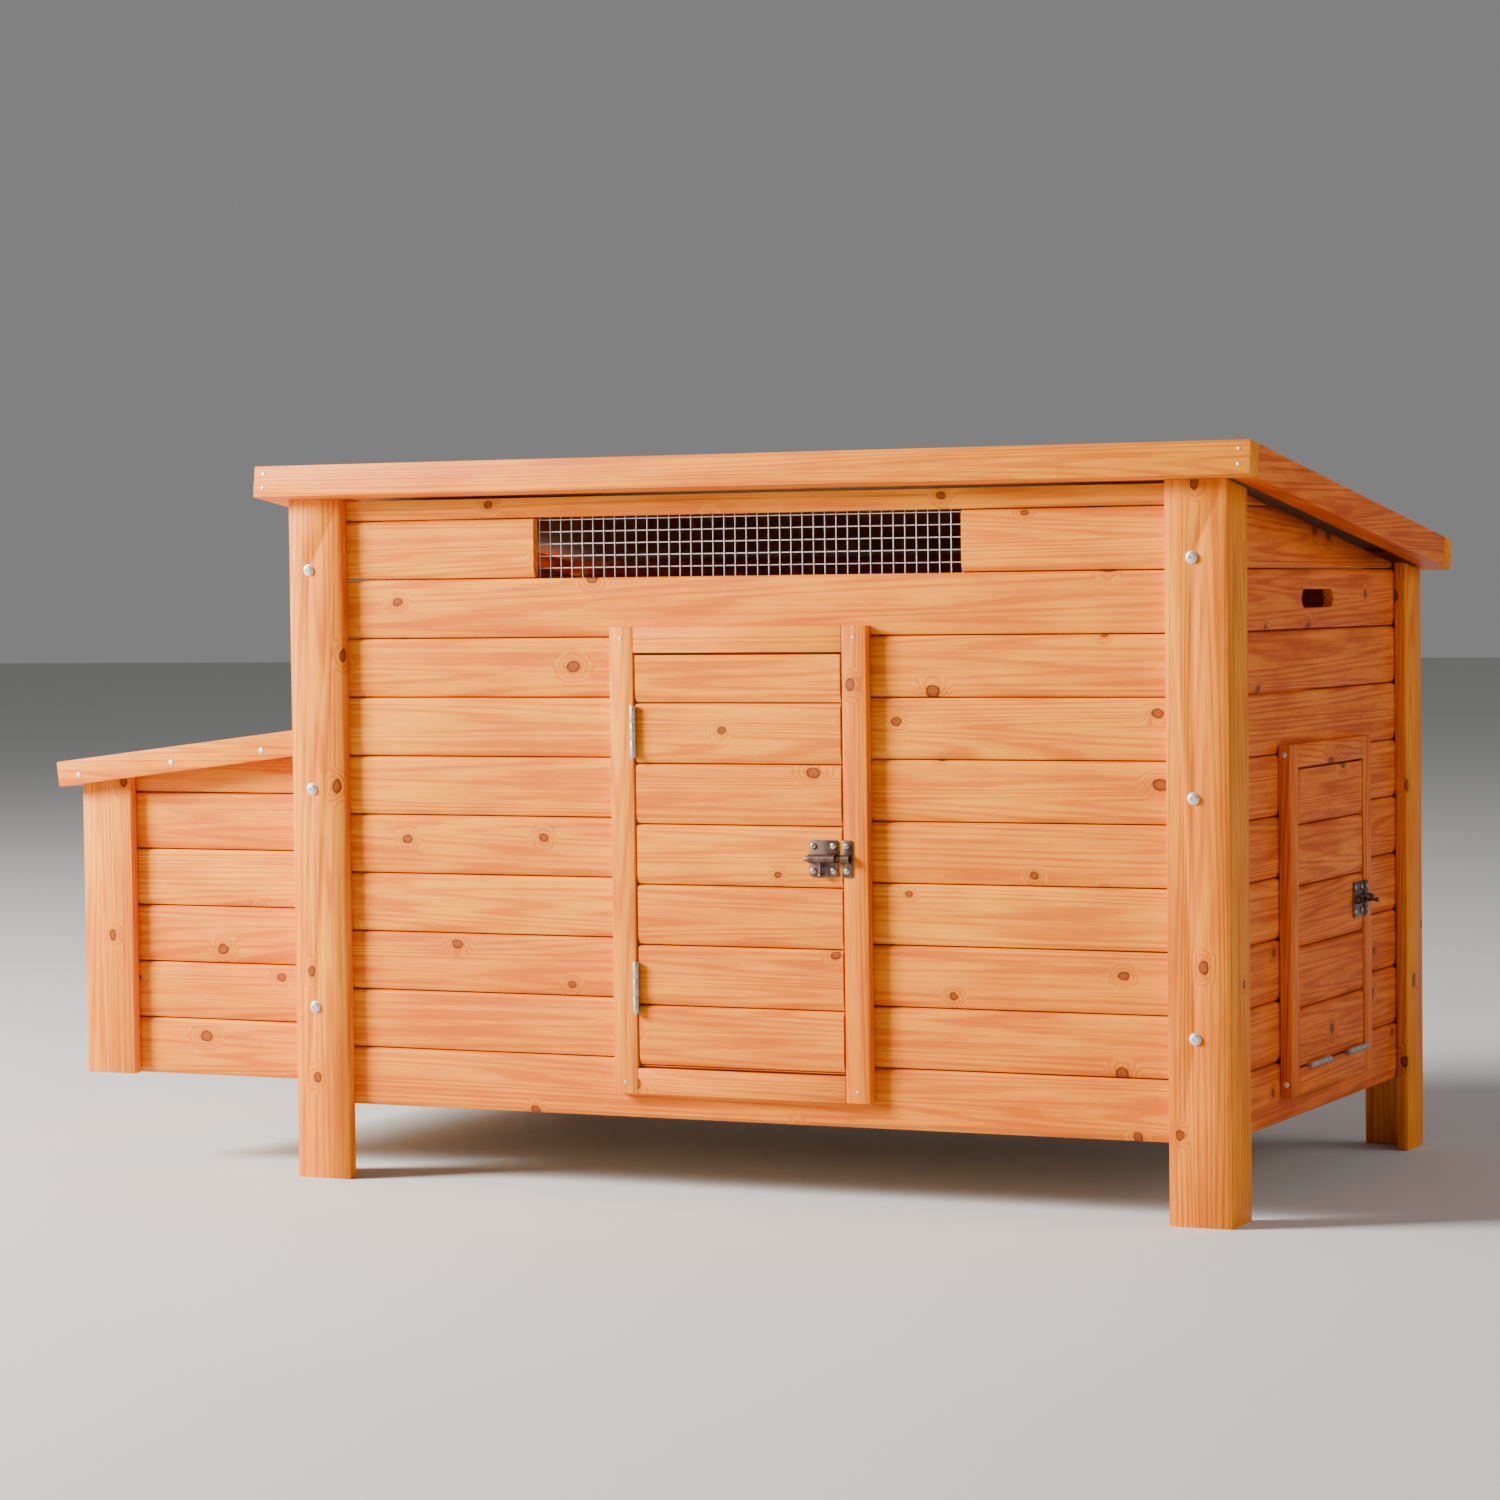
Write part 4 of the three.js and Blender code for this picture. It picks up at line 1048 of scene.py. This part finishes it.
for side, x in (("left", rail_low.x + 0.012), ("right", rail_high.x - 0.012)):
    for level, up_by in (("low", 0.010), ("high", 0.025)):
        face_y = rail_low.y + math.sin(tilt) * up_by
        z = rail_low.z + 0.0035 + up_by
        nail(f"roof_nail_{side}_{level}", (x, face_y, z), 0.0018, (0, -1, math.sin(tilt)), "roof")
for side in ("left", "right"):
    low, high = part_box(f"door_stile_{side}")
    for level, z in (("low", low.z + 0.012), ("high", high.z - 0.012)):
        middle = ((low.x + high.x) / 2, low.y, z)
        nail(f"door_surround_nail_{side}_{level}", middle, 0.0014, (0, -1, 0), "coop")
low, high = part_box("pop_door_stile_front")
for level, z in (("low", low.z + 0.0135), ("high", high.z - 0.010)):
    middle = ((low.x + high.x) / 2, low.y, z)
    nail(f"ramp_surround_screw_{level}", middle, 0.0031, (0, -1, 0), "coop")


# Setting. A plain pale floor under a large soft neutral key light from the left and a larger,
# weaker fill from the right, with the camera low in front of the right-hand corner.
bpy.ops.mesh.primitive_plane_add(size=60, location=(0, 0, 0))
floor = bpy.context.object
floor.name = "studio_floor"
paint, _, _, shader = surface("pale floor")
shader.inputs["Base Color"].default_value = (0.62, 0.62, 0.61, 1)
shader.inputs["Roughness"].default_value = 0.8
floor.data.materials.append(paint)

world = bpy.data.worlds.new("soft daylight")
bpy.context.scene.world = world
world.use_nodes = True
sky = world.node_tree.nodes["Background"]
sky.inputs["Color"].default_value = (1.0, 1.0, 1.0, 1)
sky.inputs["Strength"].default_value = 0.22


def lamp(name, azimuth, elevation, distance, size, power, colour):
    """A square lamp that faces the coop; azimuth 0 is straight in front, 90 to the right."""
    light = bpy.data.lights.new(name, "AREA")
    light.size = size
    light.energy = power
    light.color = colour
    holder = bpy.data.objects.new(name, light)
    bpy.context.scene.collection.objects.link(holder)
    a, e = math.radians(azimuth), math.radians(elevation)
    away = Vector((math.sin(a) * math.cos(e), -math.cos(a) * math.cos(e), math.sin(e)))
    holder.location = away * distance
    holder.rotation_euler = away.to_track_quat("Z", "Y").to_euler()


lamp("key", azimuth=-57, elevation=27, distance=6.0, size=2.0, power=1250, colour=(1.0, 0.98, 0.95))
lamp("fill", azimuth=97, elevation=20, distance=6.0, size=4.0, power=105, colour=(1.0, 1.0, 1.0))

camera_data = bpy.data.cameras.new("camera")
camera_data.sensor_width = 36.0
camera_data.lens = 99.83
camera = bpy.data.objects.new("camera", camera_data)
bpy.context.scene.collection.objects.link(camera)
bpy.context.scene.camera = camera
yaw, dip, lean = math.radians(25.24), math.radians(2.19), math.radians(-0.676)
ahead = Vector((-math.sin(yaw) * math.cos(dip), math.cos(yaw) * math.cos(dip), -math.sin(dip)))
level = Vector((math.cos(yaw), math.sin(yaw), 0))
up = level.cross(ahead)
right = math.cos(lean) * level + math.sin(lean) * up
over = -math.sin(lean) * level + math.cos(lean) * up
eye = Vector((1.8370, -3.8752, 0.5506))
house_origin = Vector(((wall_low.x + wall_high.x) / 2, front_y, ground))
camera.matrix_world = Matrix(
    (
        (right.x, over.x, -ahead.x, house_origin.x + eye.x),
        (right.y, over.y, -ahead.y, house_origin.y + eye.y),
        (right.z, over.z, -ahead.z, house_origin.z + eye.z),
        (0, 0, 0, 1),
    )
)
camera_data.clip_end = 100.0
